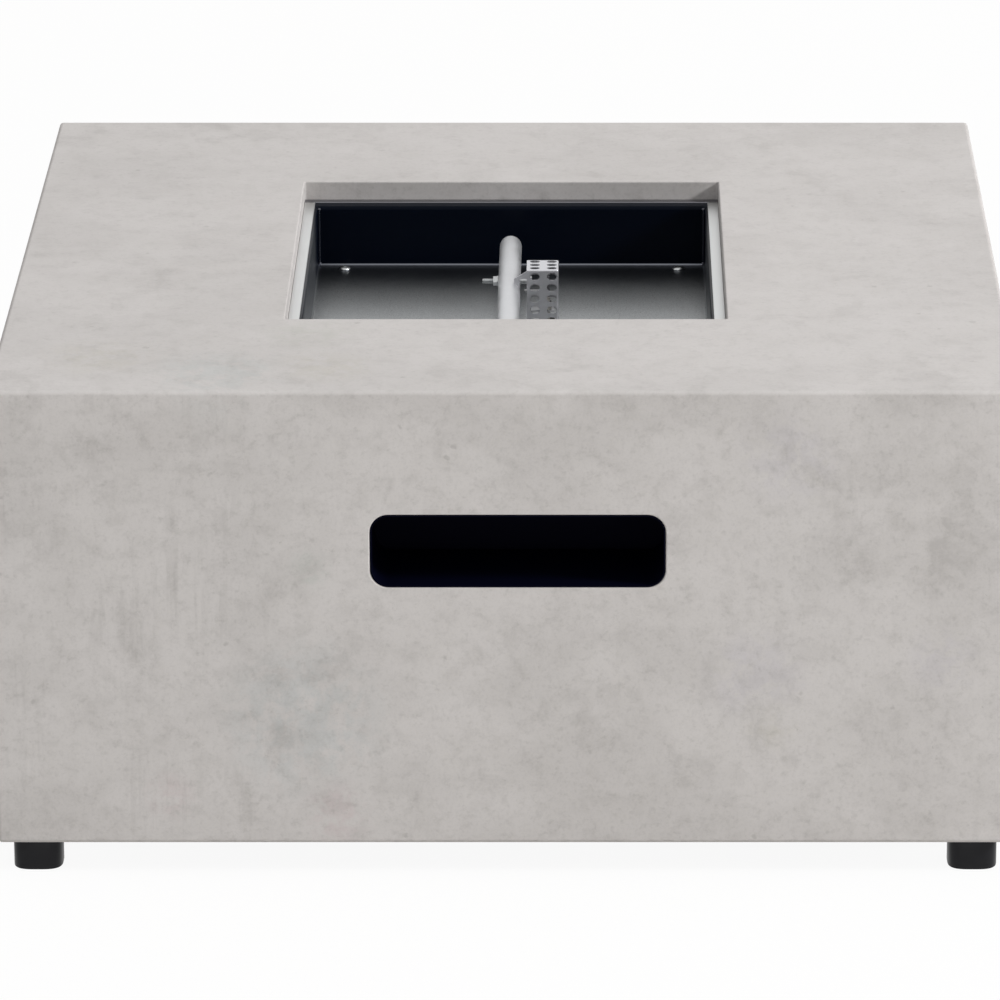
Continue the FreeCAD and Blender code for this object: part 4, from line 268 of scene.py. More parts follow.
def stoveEnamelMaterial():
    s = stoveEnamel
    material, tree, shader, spot = startMaterial("stoveEnamel", Specular_IOR_Level=0.05)
    speck = addNode(tree, "TexNoise", {"Vector": spot, "Scale": 1 / s["speckMm"], "Detail": 3.0,
                                       "Roughness": 0.7})
    speckShare = addNode(tree, "MapRange", {"Value": speck.outputs["Fac"], "From Min": 0.4, "From Max": 0.7})
    sprayed = addNode(tree, "MixRGB", {"Fac": speckShare.outputs[0], "Color1": linearColour(s["colour"]),
                                       "Color2": linearColour(s["speck"])})
    # Painted reflection: a metallic grey patch on the floor, bright in the middle and dying out towards the
    # end walls, paints the floor's reflection gradient; it reaches up the bend from the floor, and the side
    # walls take a little of it
    place = addNode(tree, "SeparateXYZ", {0: spot})
    fromMiddle = addNode(tree, "Math", {0: place.outputs["Y"]}, operation="ABSOLUTE")
    blotch = addNode(tree, "TexNoise", {"Vector": spot, "Scale": 1 / s["blotchMm"], "Detail": 4.0})
    shifted = addNode(tree, "Math", {0: blotch.outputs["Fac"], 1: s["blotchReach"],
                                     2: fromMiddle.outputs[0]}, operation="MULTIPLY_ADD")
    meanShift = s["blotchReach"] / 2
    reached = addNode(tree, "MapRange", {"Value": shifted.outputs[0], "From Min": s["bloomWall"] + meanShift,
                                         "From Max": s["bloomFull"] + meanShift},
                      interpolation_type="SMOOTHSTEP")
    paintedReflectionColour = addNode(tree, "MixRGB", {"Fac": speckShare.outputs[0],
                                           "Color1": linearColour(s["bloomDark"]),
                                           "Color2": linearColour(s["bloomLight"])})
    paintedReflectionMetal = addNode(tree, "MixRGB", {"Fac": reached.outputs[0], "Color1": linearColour(s["scaleDark"]),
                                     "Color2": paintedReflectionColour.outputs[0]})
    facing = addNode(tree, "SeparateXYZ", {0: addNode(tree, "TexCoord").outputs["Normal"]})
    low = addNode(tree, "Math", {0: place.outputs["Z"], 1: s["floorTop"]}, operation="LESS_THAN")
    upward = addNode(tree, "MapRange", {"Value": facing.outputs["Z"], "From Min": s["wallToFloor"][0],
                                        "From Max": s["wallToFloor"][1]})
    onFloor = addNode(tree, "Math", {0: low.outputs[0], 1: upward.outputs[0]}, operation="MULTIPLY")
    sideways = addNode(tree, "Math", {0: facing.outputs["X"]}, operation="ABSOLUTE")
    onSides = addNode(tree, "Math", {0: sideways.outputs[0], 1: reached.outputs[0]}, operation="MULTIPLY")
    paintedReflectionMask = addNode(tree, "Math", {0: onSides.outputs[0], 1: s["sideBloom"], 2: onFloor.outputs[0]},
                    operation="MULTIPLY_ADD", use_clamp=True)
    tree.links.new(paintedReflectionMask.outputs[0], shader.inputs["Metallic"])
    shade = addNode(tree, "MixRGB", {"Fac": paintedReflectionMask.outputs[0], "Color1": sprayed.outputs[0],
                                     "Color2": paintedReflectionMetal.outputs[0]})
    tree.links.new(shade.outputs[0], shader.inputs["Base Color"])
    satin = addNode(tree, "MapRange", {"Value": speck.outputs["Fac"], "From Min": noiseLow,
                                       "From Max": noiseHigh, "To Min": s["rough"][0],
                                       "To Max": s["rough"][1]})
    tree.links.new(satin.outputs[0], shader.inputs["Roughness"])
    peel = addNode(tree, "TexNoise", {"Vector": spot, "Scale": 1 / s["peelMm"], "Detail": 3.0})
    bump = addNode(tree, "Bump", {"Strength": 0.4, "Distance": 0.04 * mm, "Height": peel.outputs["Fac"]})
    tree.links.new(bump.outputs[0], shader.inputs["Normal"])
    return material


# Stainless strip, brushed along its length: fine lines that stretch the highlights. The end strips were
# brushed finer than the side ones, so they are clearer, and their colour is darker as painted shade

brushedStainless = {"light": "#DADBDA", "dark": "#CECFCF", "endLight": "#8C8D93", "endDark": "#7A7B82",
                    "lineMm": 0.5, "lineLengthMm": 60, "rough": (0.32, 0.4), "endsSmootherBy": 0.2,
                    "endsFromMm": 221.5}     # the end strips lie further than this from the middle


def brushedStainlessMaterial():
    s = brushedStainless
    material, tree, shader, spot = startMaterial("brushedStainless", Metallic=1.0)
    brush = []
    for stretch in ((s["lineLengthMm"], s["lineMm"]), (s["lineMm"], s["lineLengthMm"])):
        along = addNode(tree, "VectorMath", {0: spot, 1: (1 / stretch[0], 1 / stretch[1], 1.0)},
                        operation="MULTIPLY")
        brush.append(addNode(tree, "TexNoise", {"Vector": along.outputs[0], "Scale": 1.0, "Detail": 2.0}))
    across = addNode(tree, "SeparateXYZ", {0: spot})
    depth = addNode(tree, "Math", {0: across.outputs["Y"]}, operation="ABSOLUTE")
    endStrip = addNode(tree, "Math", {0: depth.outputs[0], 1: s["endsFromMm"]}, operation="GREATER_THAN")
    lines = addNode(tree, "MixRGB", {"Fac": endStrip.outputs[0], "Color1": brush[1].outputs["Fac"],
                                     "Color2": brush[0].outputs["Fac"]})
    sideAndEnd = []
    # the end strips' colours carry painted shade, for the shaded lip that they reflect
    for light, dark in (("light", "dark"), ("endLight", "endDark")):
        sideAndEnd.append(addNode(tree, "MixRGB", {"Fac": lines.outputs[0], "Color1": linearColour(s[dark]),
                                                   "Color2": linearColour(s[light])}).outputs[0])
    shade = addNode(tree, "MixRGB", {"Fac": endStrip.outputs[0], "Color1": sideAndEnd[0],
                                     "Color2": sideAndEnd[1]})
    tree.links.new(shade.outputs[0], shader.inputs["Base Color"])
    sideRough = addNode(tree, "MapRange", {"Value": lines.outputs[0], "From Min": noiseLow,
                                           "From Max": noiseHigh, "To Min": s["rough"][0],
                                           "To Max": s["rough"][1]})
    rough = addNode(tree, "Math", {0: endStrip.outputs[0], 1: -s["endsSmootherBy"],
                                   2: sideRough.outputs[0]}, operation="MULTIPLY_ADD")
    tree.links.new(rough.outputs[0], shader.inputs["Roughness"])
    bump = addNode(tree, "Bump", {"Strength": 0.2, "Distance": 0.006 * mm, "Height": lines.outputs[0]})
    tree.links.new(bump.outputs[0], shader.inputs["Normal"])
    return material


# Metals that are cast, blasted, plated or turned: each has its own colour, grain and roughness

metalFinishes = {
    "blastedStainless": {"light": "#DADBDD", "dark": "#CECFD1", "grainMm": 0.7, "rough": (0.4, 0.5),
                         "relief": 0.012},                      # satin, even, from glass beads
    "flamedStainless": {"light": "#DADADE", "dark": "#CCCCD0", "grainMm": 0.7, "rough": (0.4, 0.5),
                        "relief": 0.012, "sideShade": 0.72},    # the same, with painted shade on its standing sides
    "zincPlate": {"light": "#C6C8C9", "dark": "#AEB0B0", "grainMm": 3.0, "rough": (0.26, 0.42),
                  "relief": 0.006},                             # bright with cloudy bluish patches
    "steelPipe": {"light": "#8F8E8C", "dark": "#6F6E6C", "grainMm": 1.5, "rough": (0.35, 0.55),
                  "relief": 0.02},                              # drawn pipe, dull grey
    "dieCastAluminium": {"light": "#B4B4B3", "dark": "#9A9A99", "grainMm": 1.0, "rough": (0.42, 0.6),
                         "relief": 0.03},                       # grainy skin off the die
    "turnedBrass": {"light": "#D9BC78", "dark": "#C3A25C", "grainMm": 0.5, "rough": (0.22, 0.36),
                    "relief": 0.008},                           # warm yellow with fine tool lines
    "groundSteel": {"light": "#B5B5B5", "dark": "#9C9C9D", "grainMm": 0.4, "rough": (0.2, 0.32),
                    "relief": 0.004},                           # smooth, grey
    "weldScale": {"light": "#2C2E35", "dark": "#16181D", "grainMm": 1.2, "rough": (0.35, 0.5),
                  "relief": 0.03},                              # bead left dark by its own heat
    "weldCrater": {"light": "#6E6F76", "dark": "#3B3C43", "grainMm": 0.8, "rough": (0.3, 0.45),
                   "relief": 0.02},                             # the bead's ends, clean bare metal
    "springSteel": {"light": "#A2A3A6", "dark": "#85868A", "grainMm": 0.5, "rough": (0.25, 0.4),
                    "relief": 0.004},                           # drawn wire, slightly blue
    "blackOxide": {"light": "#25252A", "dark": "#141418", "grainMm": 0.8, "rough": (0.35, 0.5),
                   "relief": 0.006},                            # steel with a thin black skin
    "drawnCopper": {"light": "#C98A68", "dark": "#B0714F", "grainMm": 0.6, "rough": (0.28, 0.42),
                    "relief": 0.004},                           # capillary tube
}
metalCloudMm = 14              # size of the areas where a metal is a little rougher or smoother


def metalMaterial(name):
    s = metalFinishes[name]
    material, tree, shader, spot = startMaterial(name, Metallic=1.0)
    grain = addNode(tree, "TexNoise", {"Vector": spot, "Scale": 1 / s["grainMm"], "Detail": 3.0,
                                       "Roughness": 0.6})
    shade = addNode(tree, "MixRGB", {"Fac": grain.outputs["Fac"], "Color1": linearColour(s["dark"]),
                                     "Color2": linearColour(s["light"])})
    if "sideShade" in s:       # painted shade: full colour on faces turned up, darker on faces that stand
        facing = addNode(tree, "SeparateXYZ", {0: addNode(tree, "TexCoord").outputs["Normal"]})
        side = addNode(tree, "MapRange", {"Value": facing.outputs["Z"], "From Min": 0.8, "From Max": 0.3,
                                          "To Min": 1.0, "To Max": s["sideShade"]})
        shade = addNode(tree, "VectorMath", {0: shade.outputs[0], 3: side.outputs[0]}, operation="SCALE")
    tree.links.new(shade.outputs[0], shader.inputs["Base Color"])
    cloud = addNode(tree, "TexNoise", {"Vector": spot, "Scale": 1 / metalCloudMm, "Detail": 3.0})
    rough = addNode(tree, "MapRange", {"Value": cloud.outputs["Fac"], "From Min": noiseLow,
                                       "From Max": noiseHigh, "To Min": s["rough"][0],
                                       "To Max": s["rough"][1]})
    tree.links.new(rough.outputs[0], shader.inputs["Roughness"])
    bump = addNode(tree, "Bump", {"Strength": 0.5, "Distance": s["relief"] * mm,
                                  "Height": grain.outputs["Fac"]})
    tree.links.new(bump.outputs[0], shader.inputs["Normal"])
    return material


# Black coats, moulded plastics, rubbers and ceramic: a fine grain in the skin, a little cloud in the colour

plainFinishes = {
    "powderCoat": {"light": "#08090E", "dark": "#030408", "grainMm": 1.3, "detail": 2.0, "rough": 0.42,
                   "gloss": 0.2, "relief": 0.03, "bump": 0.35},     # on steel: soft, with fine orange peel
    "mattLining": {"light": "#040517", "dark": "#020310", "grainMm": 1.6, "detail": 4.0, "rough": 0.6,
                   "gloss": 0.04, "relief": 0.06},              # textured coat that hardly reflects
    "mouldedNylon": {"light": "#1D1D20", "dark": "#151518", "grainMm": 0.5, "rough": 0.5, "relief": 0.03,
                     "ior": 1.53},                              # knob and igniter, spark eroded mould
    "glossAbs": {"light": "#B22A1E", "dark": "#9E1F15", "grainMm": 2.5, "rough": 0.16, "relief": 0.003,
                 "ior": 1.54},                                  # button, polished mould
    "mouldedPolypropylene": {"light": "#1F1F22", "dark": "#19191C", "grainMm": 0.6, "rough": 0.38,
                             "relief": 0.02, "ior": 1.49, "gloss": 0.16},   # feet, a weak sheen
    "nitrileRubber": {"light": "#1C1C1D", "dark": "#131314", "grainMm": 0.8, "rough": 0.62, "relief": 0.02,
                      "ior": 1.52},                             # grommets, wire and gas line
    "glazedAlumina": {"light": "#F1EEE6", "dark": "#E6E2D8", "grainMm": 2.0, "rough": 0.14, "relief": 0.004,
                      "ior": 1.6},                              # spark plug ceramic
    "markPaint": {"light": "#E9E9E6", "dark": "#DADAD6", "grainMm": 0.6, "rough": 0.5, "relief": 0.006,
                  "ior": 1.5},                                  # pad printed marks
}


def plainMaterial(name):
    s = plainFinishes[name]
    material, tree, shader, spot = startMaterial(name, Roughness=s["rough"], IOR=s.get("ior", 1.5),
                                                 Specular_IOR_Level=s.get("gloss", 0.5))
    grain = addNode(tree, "TexNoise", {"Vector": spot, "Scale": 1 / s["grainMm"],
                                       "Detail": s.get("detail", 3.0)})
    shade = addNode(tree, "MixRGB", {"Fac": grain.outputs["Fac"], "Color1": linearColour(s["dark"]),
                                     "Color2": linearColour(s["light"])})
    tree.links.new(shade.outputs[0], shader.inputs["Base Color"])
    bump = addNode(tree, "Bump", {"Strength": s.get("bump", 0.5), "Distance": s["relief"] * mm,
                                  "Height": grain.outputs["Fac"]})
    tree.links.new(bump.outputs[0], shader.inputs["Normal"])
    return material


materials = {"castConcrete": castConcreteMaterial(), "stoveEnamel": stoveEnamelMaterial(),
             "brushedStainless": brushedStainlessMaterial()}
materials.update({name: metalMaterial(name) for name in metalFinishes})
materials.update({name: plainMaterial(name) for name in plainFinishes})

# Which finish each slot of the record gets
slotFinishes = {
    "cast_concrete": "castConcrete", "black_coated_steel": "powderCoat", "black_enamel": "stoveEnamel",
    "trim_stainless": "brushedStainless", "burner_stainless": "blastedStainless", "zinc_steel": "zincPlate",
    "black_screws": "blackOxide", "pipe_steel": "steelPipe", "mixer_casting": "dieCastAluminium",
    "shutter_steel": "zincPlate", "brass_fitting": "turnedBrass", "stem_steel": "groundSteel",
    "spring_steel": "springSteel", "knob_black": "mouldedNylon", "button_red": "glossAbs",
    "white_ceramic": "glazedAlumina", "foot_rubber": "mouldedPolypropylene", "black_rubber": "nitrileRubber",
    "copper_lead": "drawnCopper",
}


def finishOf(piece, finish):
    piece.data.materials.clear()
    piece.data.materials.append(materials[finish])


slotOfNode = {row["node"]: row["material_slot"] for row in frame["record"]["subparts"]}
for nodeName, nodeObject in nodes.items():
    finishOf(nodeObject, slotFinishes[slotOfNode[nodeName]])
for nodeName in ("slot_liner_front", "slot_liner_rear"):
    finishOf(nodes[nodeName], "mattLining")
# the guard gets painted shade on its sides
finishOf(nodes["ignition_guard"], "flamedStainless")
print("finishes given to", len(nodes), "nodes")


# Pieces made here: each is one or more skins, and a skin is vertices and faces with the matrix that moves it

def meshOf(name, vertices, faces, smooth):
    mesh = bpy.data.meshes.new(name)
    mesh.from_pydata(vertices, [], faces)
    mesh.update()
    for polygon in mesh.polygons:
        polygon.use_smooth = smooth
    return mesh


def newPiece(name, skins, body, finish, slotName, replaced=(), smooth=False, sharpDegrees=None):
    vertices, faces = [], []
    for (skinVertices, skinFaces), matrix in skins:
        first = len(vertices)
        vertices += [matrix @ Vector(vertex) for vertex in skinVertices]
        faces += [tuple(first + v for v in face) for face in skinFaces]
    mesh = meshOf(name, vertices, faces, smooth)
    if sharpDegrees:
        mesh.set_sharp_from_angle(angle=math.radians(sharpDegrees))
    piece = bpy.data.objects.new(name, mesh)
    bpy.context.scene.collection.objects.link(piece)
    finishOf(piece, finish)
    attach(piece, body)
    if replaced:
        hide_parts(*replaced)
    return piece


def standIn(nodeName, suffix, skins, body="table", **shading):
    # a piece in place of a CAD node, with the node's own finish
    slotName = slotOfNode[nodeName]
    return newPiece(nodeName + suffix, skins, body, slotFinishes[slotName], slotName, (nodeName,),
                    **shading)


def latheRings(rings, closedLoop=False):
    # joins rings of as many vertices, with a flat cap at each end unless the last ring meets the first
    sides = len(rings[0])
    vertices = [vertex for ring in rings for vertex in ring]
    faces = []
    for i in range(len(rings) if closedLoop else len(rings) - 1):
        low, high = i * sides, ((i + 1) % len(rings)) * sides
        for k in range(sides):
            following = (k + 1) % sides
            faces.append((low + k, low + following, high + following, high + k))
    if not closedLoop:
        faces.append(tuple(reversed(range(sides))))
        faces.append(tuple(range((len(rings) - 1) * sides, len(rings) * sides)))
    return vertices, faces


def tubeAlong(points, radii, sides):
    # a round bar along a line of points, with its radius at each
    last = len(points) - 1
    rings = []
    side = None
    for i, point in enumerate(points):
        heading = (points[min(i + 1, last)] - points[max(i - 1, 0)]).normalized()
        if side is None:
            side = heading.orthogonal().normalized()
        side = (side - heading * side.dot(heading)).normalized()
        other = heading.cross(side)
        angles = [2 * math.pi * k / sides for k in range(sides)]
        rings.append([point + (side * math.cos(a) + other * math.sin(a)) * radii[i] for a in angles])
    return latheRings(rings)


def ringOf(radiusAt, height, sides, riseAt=lambda a: 0.0):
    angles = [2 * math.pi * k / sides for k in range(sides)]
    return [Vector((radiusAt(a) * math.cos(a), radiusAt(a) * math.sin(a), height + riseAt(a)))
            for a in angles]


def roundBar(profile, sides=32):
    # a turned bar from (radius, height) pairs, capped
    return latheRings([ringOf(lambda a, r=radius: r, height, sides) for radius, height in profile])


def hexReach(flats, a):
    # from a hexagon's middle to its edge at the angle a, with corners along X
    return flats / 2 / math.cos((a + math.pi / 6) % (math.pi / 3) - math.pi / 6)


def hexBlock(flats, low, high, bore=0.0, chamfers=("low", "high"), chamferDegrees=30, faceShare=0.96,
             sides=48):
    # a hexagon with its corners turned off at each end named in chamfers
    def reach(a):
        return hexReach(flats, a)

    def drop(a):
        return (reach(a) - flats / 2) * math.tan(math.radians(chamferDegrees))

    halves = []
    for end, height, inward in (("low", low, 1), ("high", high, -1)):
        rings = [ringOf(lambda a: bore, height, sides)] if bore else []
        if end in chamfers:
            rings += [ringOf(lambda a: faceShare * flats / 2, height, sides),
                      ringOf(reach, height, sides, lambda a: inward * drop(a))]
        else:
            rings.append(ringOf(reach, height, sides))
        halves.append(rings)
    return latheRings(halves[0] + halves[1][::-1], closedLoop=bool(bore))


def threadedBar(radius, low, high, pitch, sides=24, rowsEach=6, depthShare=0.55):
    # a screw thread cut on a bar, with both ends turned down
    depth = depthShare * pitch
    count = int(round((high - low) / pitch * rowsEach))
    rings = []
    for i in range(count + 1):
        z = low + (high - low) * i / count
        most = radius - depth + min(z - low, high - z)

        def cutTo(a, z=z, most=most):
            turn = (z / pitch - a / (2 * math.pi)) % 1
            return min(radius - depth * (1 - abs(2 * turn - 1)), most)

        rings.append(ringOf(cutTo, z, sides))
    return latheRings(rings)


def solidsOf(nodeName):
    # the box of each separate solid in a CAD node, as (low, high), found from its triangles
    mesh = nodes[nodeName].data
    spots = {}
    corners = [spots.setdefault(tuple(round(c, 6) for c in vertex.co), len(spots))
               for vertex in mesh.vertices]
    parent = list(range(len(spots)))

    def rootOf(i):
        while parent[i] != i:
            parent[i] = parent[parent[i]]
            i = parent[i]
        return i

    for edge in mesh.edges:
        parent[rootOf(corners[edge.vertices[0]])] = rootOf(corners[edge.vertices[1]])
    solids = {}
    for spot, i in spots.items():
        solids.setdefault(rootOf(i), []).append(spot)
    boxes = []
    for points in solids.values():
        low = Vector([min(point[k] for point in points) for k in range(3)])
        high = Vector([max(point[k] for point in points) for k in range(3)])
        boxes.append((low, high))
    return sorted(boxes, key=lambda both: tuple(both[0]))


def uprightAt(low, high):
    # stands a skin made round the Z axis in the middle of a box
    middle = (low + high) / 2
    return Matrix.Translation((middle.x, middle.y, 0))


# Springs, each wound as one wire

springs = {
    "valve_spring": {"joint": "knob_push", "keep": 0.62, "wire": 0.35 * mm},
    "button_spring": {"joint": "igniter_push", "keep": 0.54, "wire": 0.45 * mm},
}
springTurns = 6
springSteps = 28               # points in each turn
springSides = 12


def makeSpring(nodeName):
    s = springs[nodeName]
    low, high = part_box(nodeName)
    wire = s["wire"]
    middleY, middleZ = (low.y + high.y) / 2, (low.z + high.z) / 2
    coil = (high.y - low.y) / 2 - wire
    count = springTurns * springSteps
    points = []
    for i in range(count + 1):
        angle = 2 * math.pi * i / springSteps
        x = low.x + wire + (high.x - low.x - 2 * wire) * i / count
        points.append(Vector((x, middleY + coil * math.sin(angle), middleZ + coil * math.cos(angle))))
    wound = tubeAlong(points, [wire] * len(points), springSides)
    spring = standIn(nodeName, "_coil", [(wound, still)], smooth=True)
    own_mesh(spring)


for nodeName in springs:
    makeSpring(nodeName)
print("springs wound")


# Weld beads in the pan's four upright corners, each with a crater where it starts and where it ends

panCorner = (0.1885, 0.21175)  # inside of the pan, from its middle
panCorners = [(sideX, sideY) for sideX in (-1, 1) for sideY in (-1, 1)]
panWelds = {"beadRadius": 1.3 * mm, "rippleStep": 1.6 * mm, "ripple": 0.22 * mm, "uneven": 0.06,
            "inset": 0.9 * mm, "low": 0.3796, "high": 0.4352, "sides": 12}
weldCraters = {"radius": 1.7 * mm, "heights": (0.3802, 0.4348), "inset": 1.2 * mm, "uneven": (0.94, 1.06),
               "sides": 20,
               # the bowl, as shares of the crater's radius across and up
               "bowl": [(0.12, -1.0), (0.6, -0.8), (0.92, -0.35), (1.0, 0.1), (0.85, 0.5), (0.5, 0.62),
                        (0.15, 0.4)]}


def makePanWelds():
    s = panWelds
    beads = []
    for sideX, sideY in panCorners:
        corner = Vector((sideX * (panCorner[0] - s["inset"]), sideY * (panCorner[1] - s["inset"]), 0))
        count = int((s["high"] - s["low"]) / s["rippleStep"]) * 4      # four points to each ripple
        points, radii = [], []
        for i in range(count + 1):
            points.append(corner + Vector((0, 0, s["low"] + (s["high"] - s["low"]) * i / count)))
            radii.append(s["beadRadius"] + s["ripple"] * math.cos(i * math.pi / 2)
                         + rng.uniform(-s["uneven"], s["uneven"]) * mm)
        beads.append((tubeAlong(points, radii, s["sides"]), still))
    newPiece("pan_corner_welds", beads, "table", "weldScale", "black_enamel", smooth=True)


def makeWeldCraters():
    s = weldCraters
    craters = []
    for sideX, sideY in panCorners:
        for height in s["heights"]:
            profile = [(r * s["radius"] * rng.uniform(*s["uneven"]), z * s["radius"]) for r, z in s["bowl"]]
            middle = (sideX * (panCorner[0] - s["inset"]), sideY * (panCorner[1] - s["inset"]), height)
            craters.append((roundBar(profile, s["sides"]), Matrix.Translation(middle)))
    newPiece("pan_weld_craters", craters, "table", "weldCrater", "burner_stainless", smooth=True)


makePanWelds()
makeWeldCraters()
print("welds laid")


# Trim frame: flat strip on the pan's rim with its edges broken, almost up to the walls of the opening

trimFrame = {"outside": (201.7 * mm, 232.6 * mm),    # from the middle, across and along
             "inside": (191.5 * mm, 222.0 * mm), "bevel": 0.35 * mm}
ringCorners = ((-1, -1), (1, -1), (1, 1), (-1, 1))


def makeTrim():
    (outX, outY), (inX, inY), bevel = trimFrame["outside"], trimFrame["inside"], trimFrame["bevel"]
    low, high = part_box("trim_frame")
    rings = []
    for x, y, z in ((inX, inY, low.z), (outX, outY, low.z), (outX, outY, high.z - bevel),
                    (outX - bevel, outY - bevel, high.z), (inX + bevel, inY + bevel, high.z),
                    (inX, inY, high.z - bevel)):
        rings.append([Vector((sideX * x, sideY * y, z)) for sideX, sideY in ringCorners])
    standIn("trim_frame", "_bevelled", [(latheRings(rings, closedLoop=True), still)])


makeTrim()
print("trim laid")


# Guard bolt and nut: rolled thread on the tail, corners turned off the hexagons

guardBolt = {"flats": 8 * mm, "head": 3.5 * mm, "threadFrom": -9 * mm, "radius": 2.5 * mm, "pitch": 1.0 * mm,
             "intoThread": 0.5 * mm, "intoHead": 0.2 * mm}     # how far the shank starts inside each


def makeGuardBolt():
    s = guardBolt
    low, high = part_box("guard_bolt")
    nutLow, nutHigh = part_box("guard_nut")
    middle = (nutLow + nutHigh) / 2
    alongX = Matrix.Translation((0, middle.y, middle.z)) @ Matrix.Rotation(math.radians(90), 4, "Y")
    seat = high.x - s["head"]
    shank = roundBar([(s["radius"], s["threadFrom"] - s["intoThread"]), (s["radius"], seat + s["intoHead"])])
    thread = threadedBar(s["radius"], low.x, s["threadFrom"], s["pitch"])
    head = hexBlock(s["flats"], seat, high.x, chamfers=("high",))
    standIn("guard_bolt", "_threaded", [(part, alongX) for part in (shank, thread, head)])
    nut = hexBlock(s["flats"], nutLow.x, nutHigh.x, bore=s["radius"])
    standIn("guard_nut", "_chamfered", [(nut, alongX)])


makeGuardBolt()

# Foot studs: coarse rolled thread over a chamfered collar, one on each foot's own body

footStud = {"radius": 5 * mm, "pitch": 1.5 * mm, "flats": 15 * mm, "low": 20.85 * mm, "chamfer": 0.4 * mm,
            "collar": (29.7 * mm, 32 * mm), "intoCollar": 0.5 * mm, "top": 62 * mm, "out": 423 * mm}
footCorners = {"front_left": (-1, -1), "front_right": (1, -1), "rear_right": (1, 1), "rear_left": (-1, 1)}


def makeFootStuds():
    s = footStud
    for cornerName, (sideX, sideY) in footCorners.items():
        at = Matrix.Translation((sideX * s["out"], sideY * s["out"], 0))
        tip = roundBar([(s["radius"] - s["chamfer"], s["low"]), (s["radius"], s["low"] + s["chamfer"]),
                        (s["radius"], s["collar"][0])])
        collar = hexBlock(s["flats"], *s["collar"])
        thread = threadedBar(s["radius"], s["collar"][1] - s["intoCollar"], s["top"], s["pitch"])
        nodeName = "foot_stud_" + cornerName
        standIn(nodeName, "_threaded", [(part, at) for part in (tip, collar, thread)], body=nodeName)


makeFootStuds()

# Foot pads: squarish blocks with bulging sides, soft edges and a socket for the stud

footPad = {"squareness": 3.3, "sides": 96, "sharpDegrees": 50, "socketRoom": 0.05 * mm,
           # how far each ring lies inside the widest one, and its height above the pad's lower face
           "low": [(0.9 * mm, 0), (0.45 * mm, 0.12 * mm), (0.12 * mm, 0.45 * mm), (0, 1 * mm)],
           # the same for the rings near the top, with their depth under its upper face
           "high": [(0, 1.2 * mm), (0.25 * mm, 0.5 * mm), (0.9 * mm, 0)]}


def makeFootPads():
    s = footPad
    power = s["squareness"]
    for nodeName in [name for name in nodes if name.startswith("foot_pad_")]:
        low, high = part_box(nodeName)
        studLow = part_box(nodeName.replace("pad", "stud"))[0]
        half = (high.x - low.x) / 2

        def edgeOf(inset):
            return lambda a: (half - inset) / (abs(math.cos(a)) ** power
                                               + abs(math.sin(a)) ** power) ** (1 / power)

        rings = [ringOf(edgeOf(inset), low.z + up, s["sides"]) for inset, up in s["low"]]
        rings += [ringOf(edgeOf(inset), high.z - down, s["sides"]) for inset, down in s["high"]]
        socket = footStud["radius"] + s["socketRoom"]
        for height in (high.z, studLow.z - s["socketRoom"]):
            rings.append(ringOf(lambda a: socket, height, s["sides"]))
        standIn(nodeName, "_moulded", [(latheRings(rings), uprightAt(low, high))], body=nodeName, smooth=True,
                sharpDegrees=s["sharpDegrees"])


makeFootPads()

# Nuts and bolt heads under the table: chamfered hexagons, and a flange under each head

hexNuts = {"strap_nuts": {"flats": 8 * mm, "bore": 1.8 * mm},
           "foot_nuts": {"flats": 17 * mm, "bore": 5.05 * mm},
           "inlet_locknuts": {"flats": 24 * mm, "bore": 8.65 * mm}}
hexBolts = {"names": ("hanger_bolts", "plate_bolts"), "flats": 10 * mm, "head": 4 * mm, "flange": 7 * mm,
            "flangeHeight": 1.2 * mm, "flangeSlope": 0.5 * mm, "flangeSides": 48,
            "headEnds": 0.6, "slopeEnds": 0.5,         # under the seat, as shares of the flange's height
            "radius": 3 * mm, "pitch": 1.0 * mm, "intoHead": 0.5 * mm}
fineThread = {"sides": 16, "rowsEach": 5}      # enough for the small ones, which are seldom seen


def makeFasteners():
    for nodeName, s in hexNuts.items():
        nuts = [(hexBlock(s["flats"], low.z, high.z, bore=s["bore"]), uprightAt(low, high))
                for low, high in solidsOf(nodeName)]
        standIn(nodeName, "_chamfered", nuts)
    s = hexBolts
    for nodeName in s["names"]:
        skins = []
        for low, high in solidsOf(nodeName):
            seat = low.z + s["head"]
            head = hexBlock(s["flats"], low.z, seat - s["headEnds"] * s["flangeHeight"], chamfers=("low",))
            flange = roundBar([(s["flange"] - s["flangeSlope"], seat - s["flangeHeight"]),
                               (s["flange"], seat - s["slopeEnds"] * s["flangeHeight"]),
                               (s["flange"], seat)], s["flangeSides"])
            shank = threadedBar(s["radius"], seat - s["intoHead"], high.z, s["pitch"], **fineThread)
            skins += [(part, uprightAt(low, high)) for part in (head, flange, shank)]
        standIn(nodeName, "_chamfered", skins)


makeFasteners()

# Screws in the pan's floor: low domed heads with a hexagon socket, wide ones in the corners

panScrews = {"height": 3 * mm, "cornerRadius": 6 * mm, "middleRadius": 4.75 * mm, "cornersFrom": 100 * mm,
             "socket": 3 * mm, "deep": 1.6 * mm, "shank": 1.75 * mm, "pitch": 0.7 * mm, "intoHead": 0.3 * mm,
             "sides": 48, "sharpDegrees": 38,
             # the dome, as shares of the head's radius and height
             "dome": [(0.97, 0), (1, 0.08), (1, 0.2), (0.95, 0.42), (0.84, 0.64), (0.68, 0.83), (0.5, 0.95),
                      (0.36, 1)]}


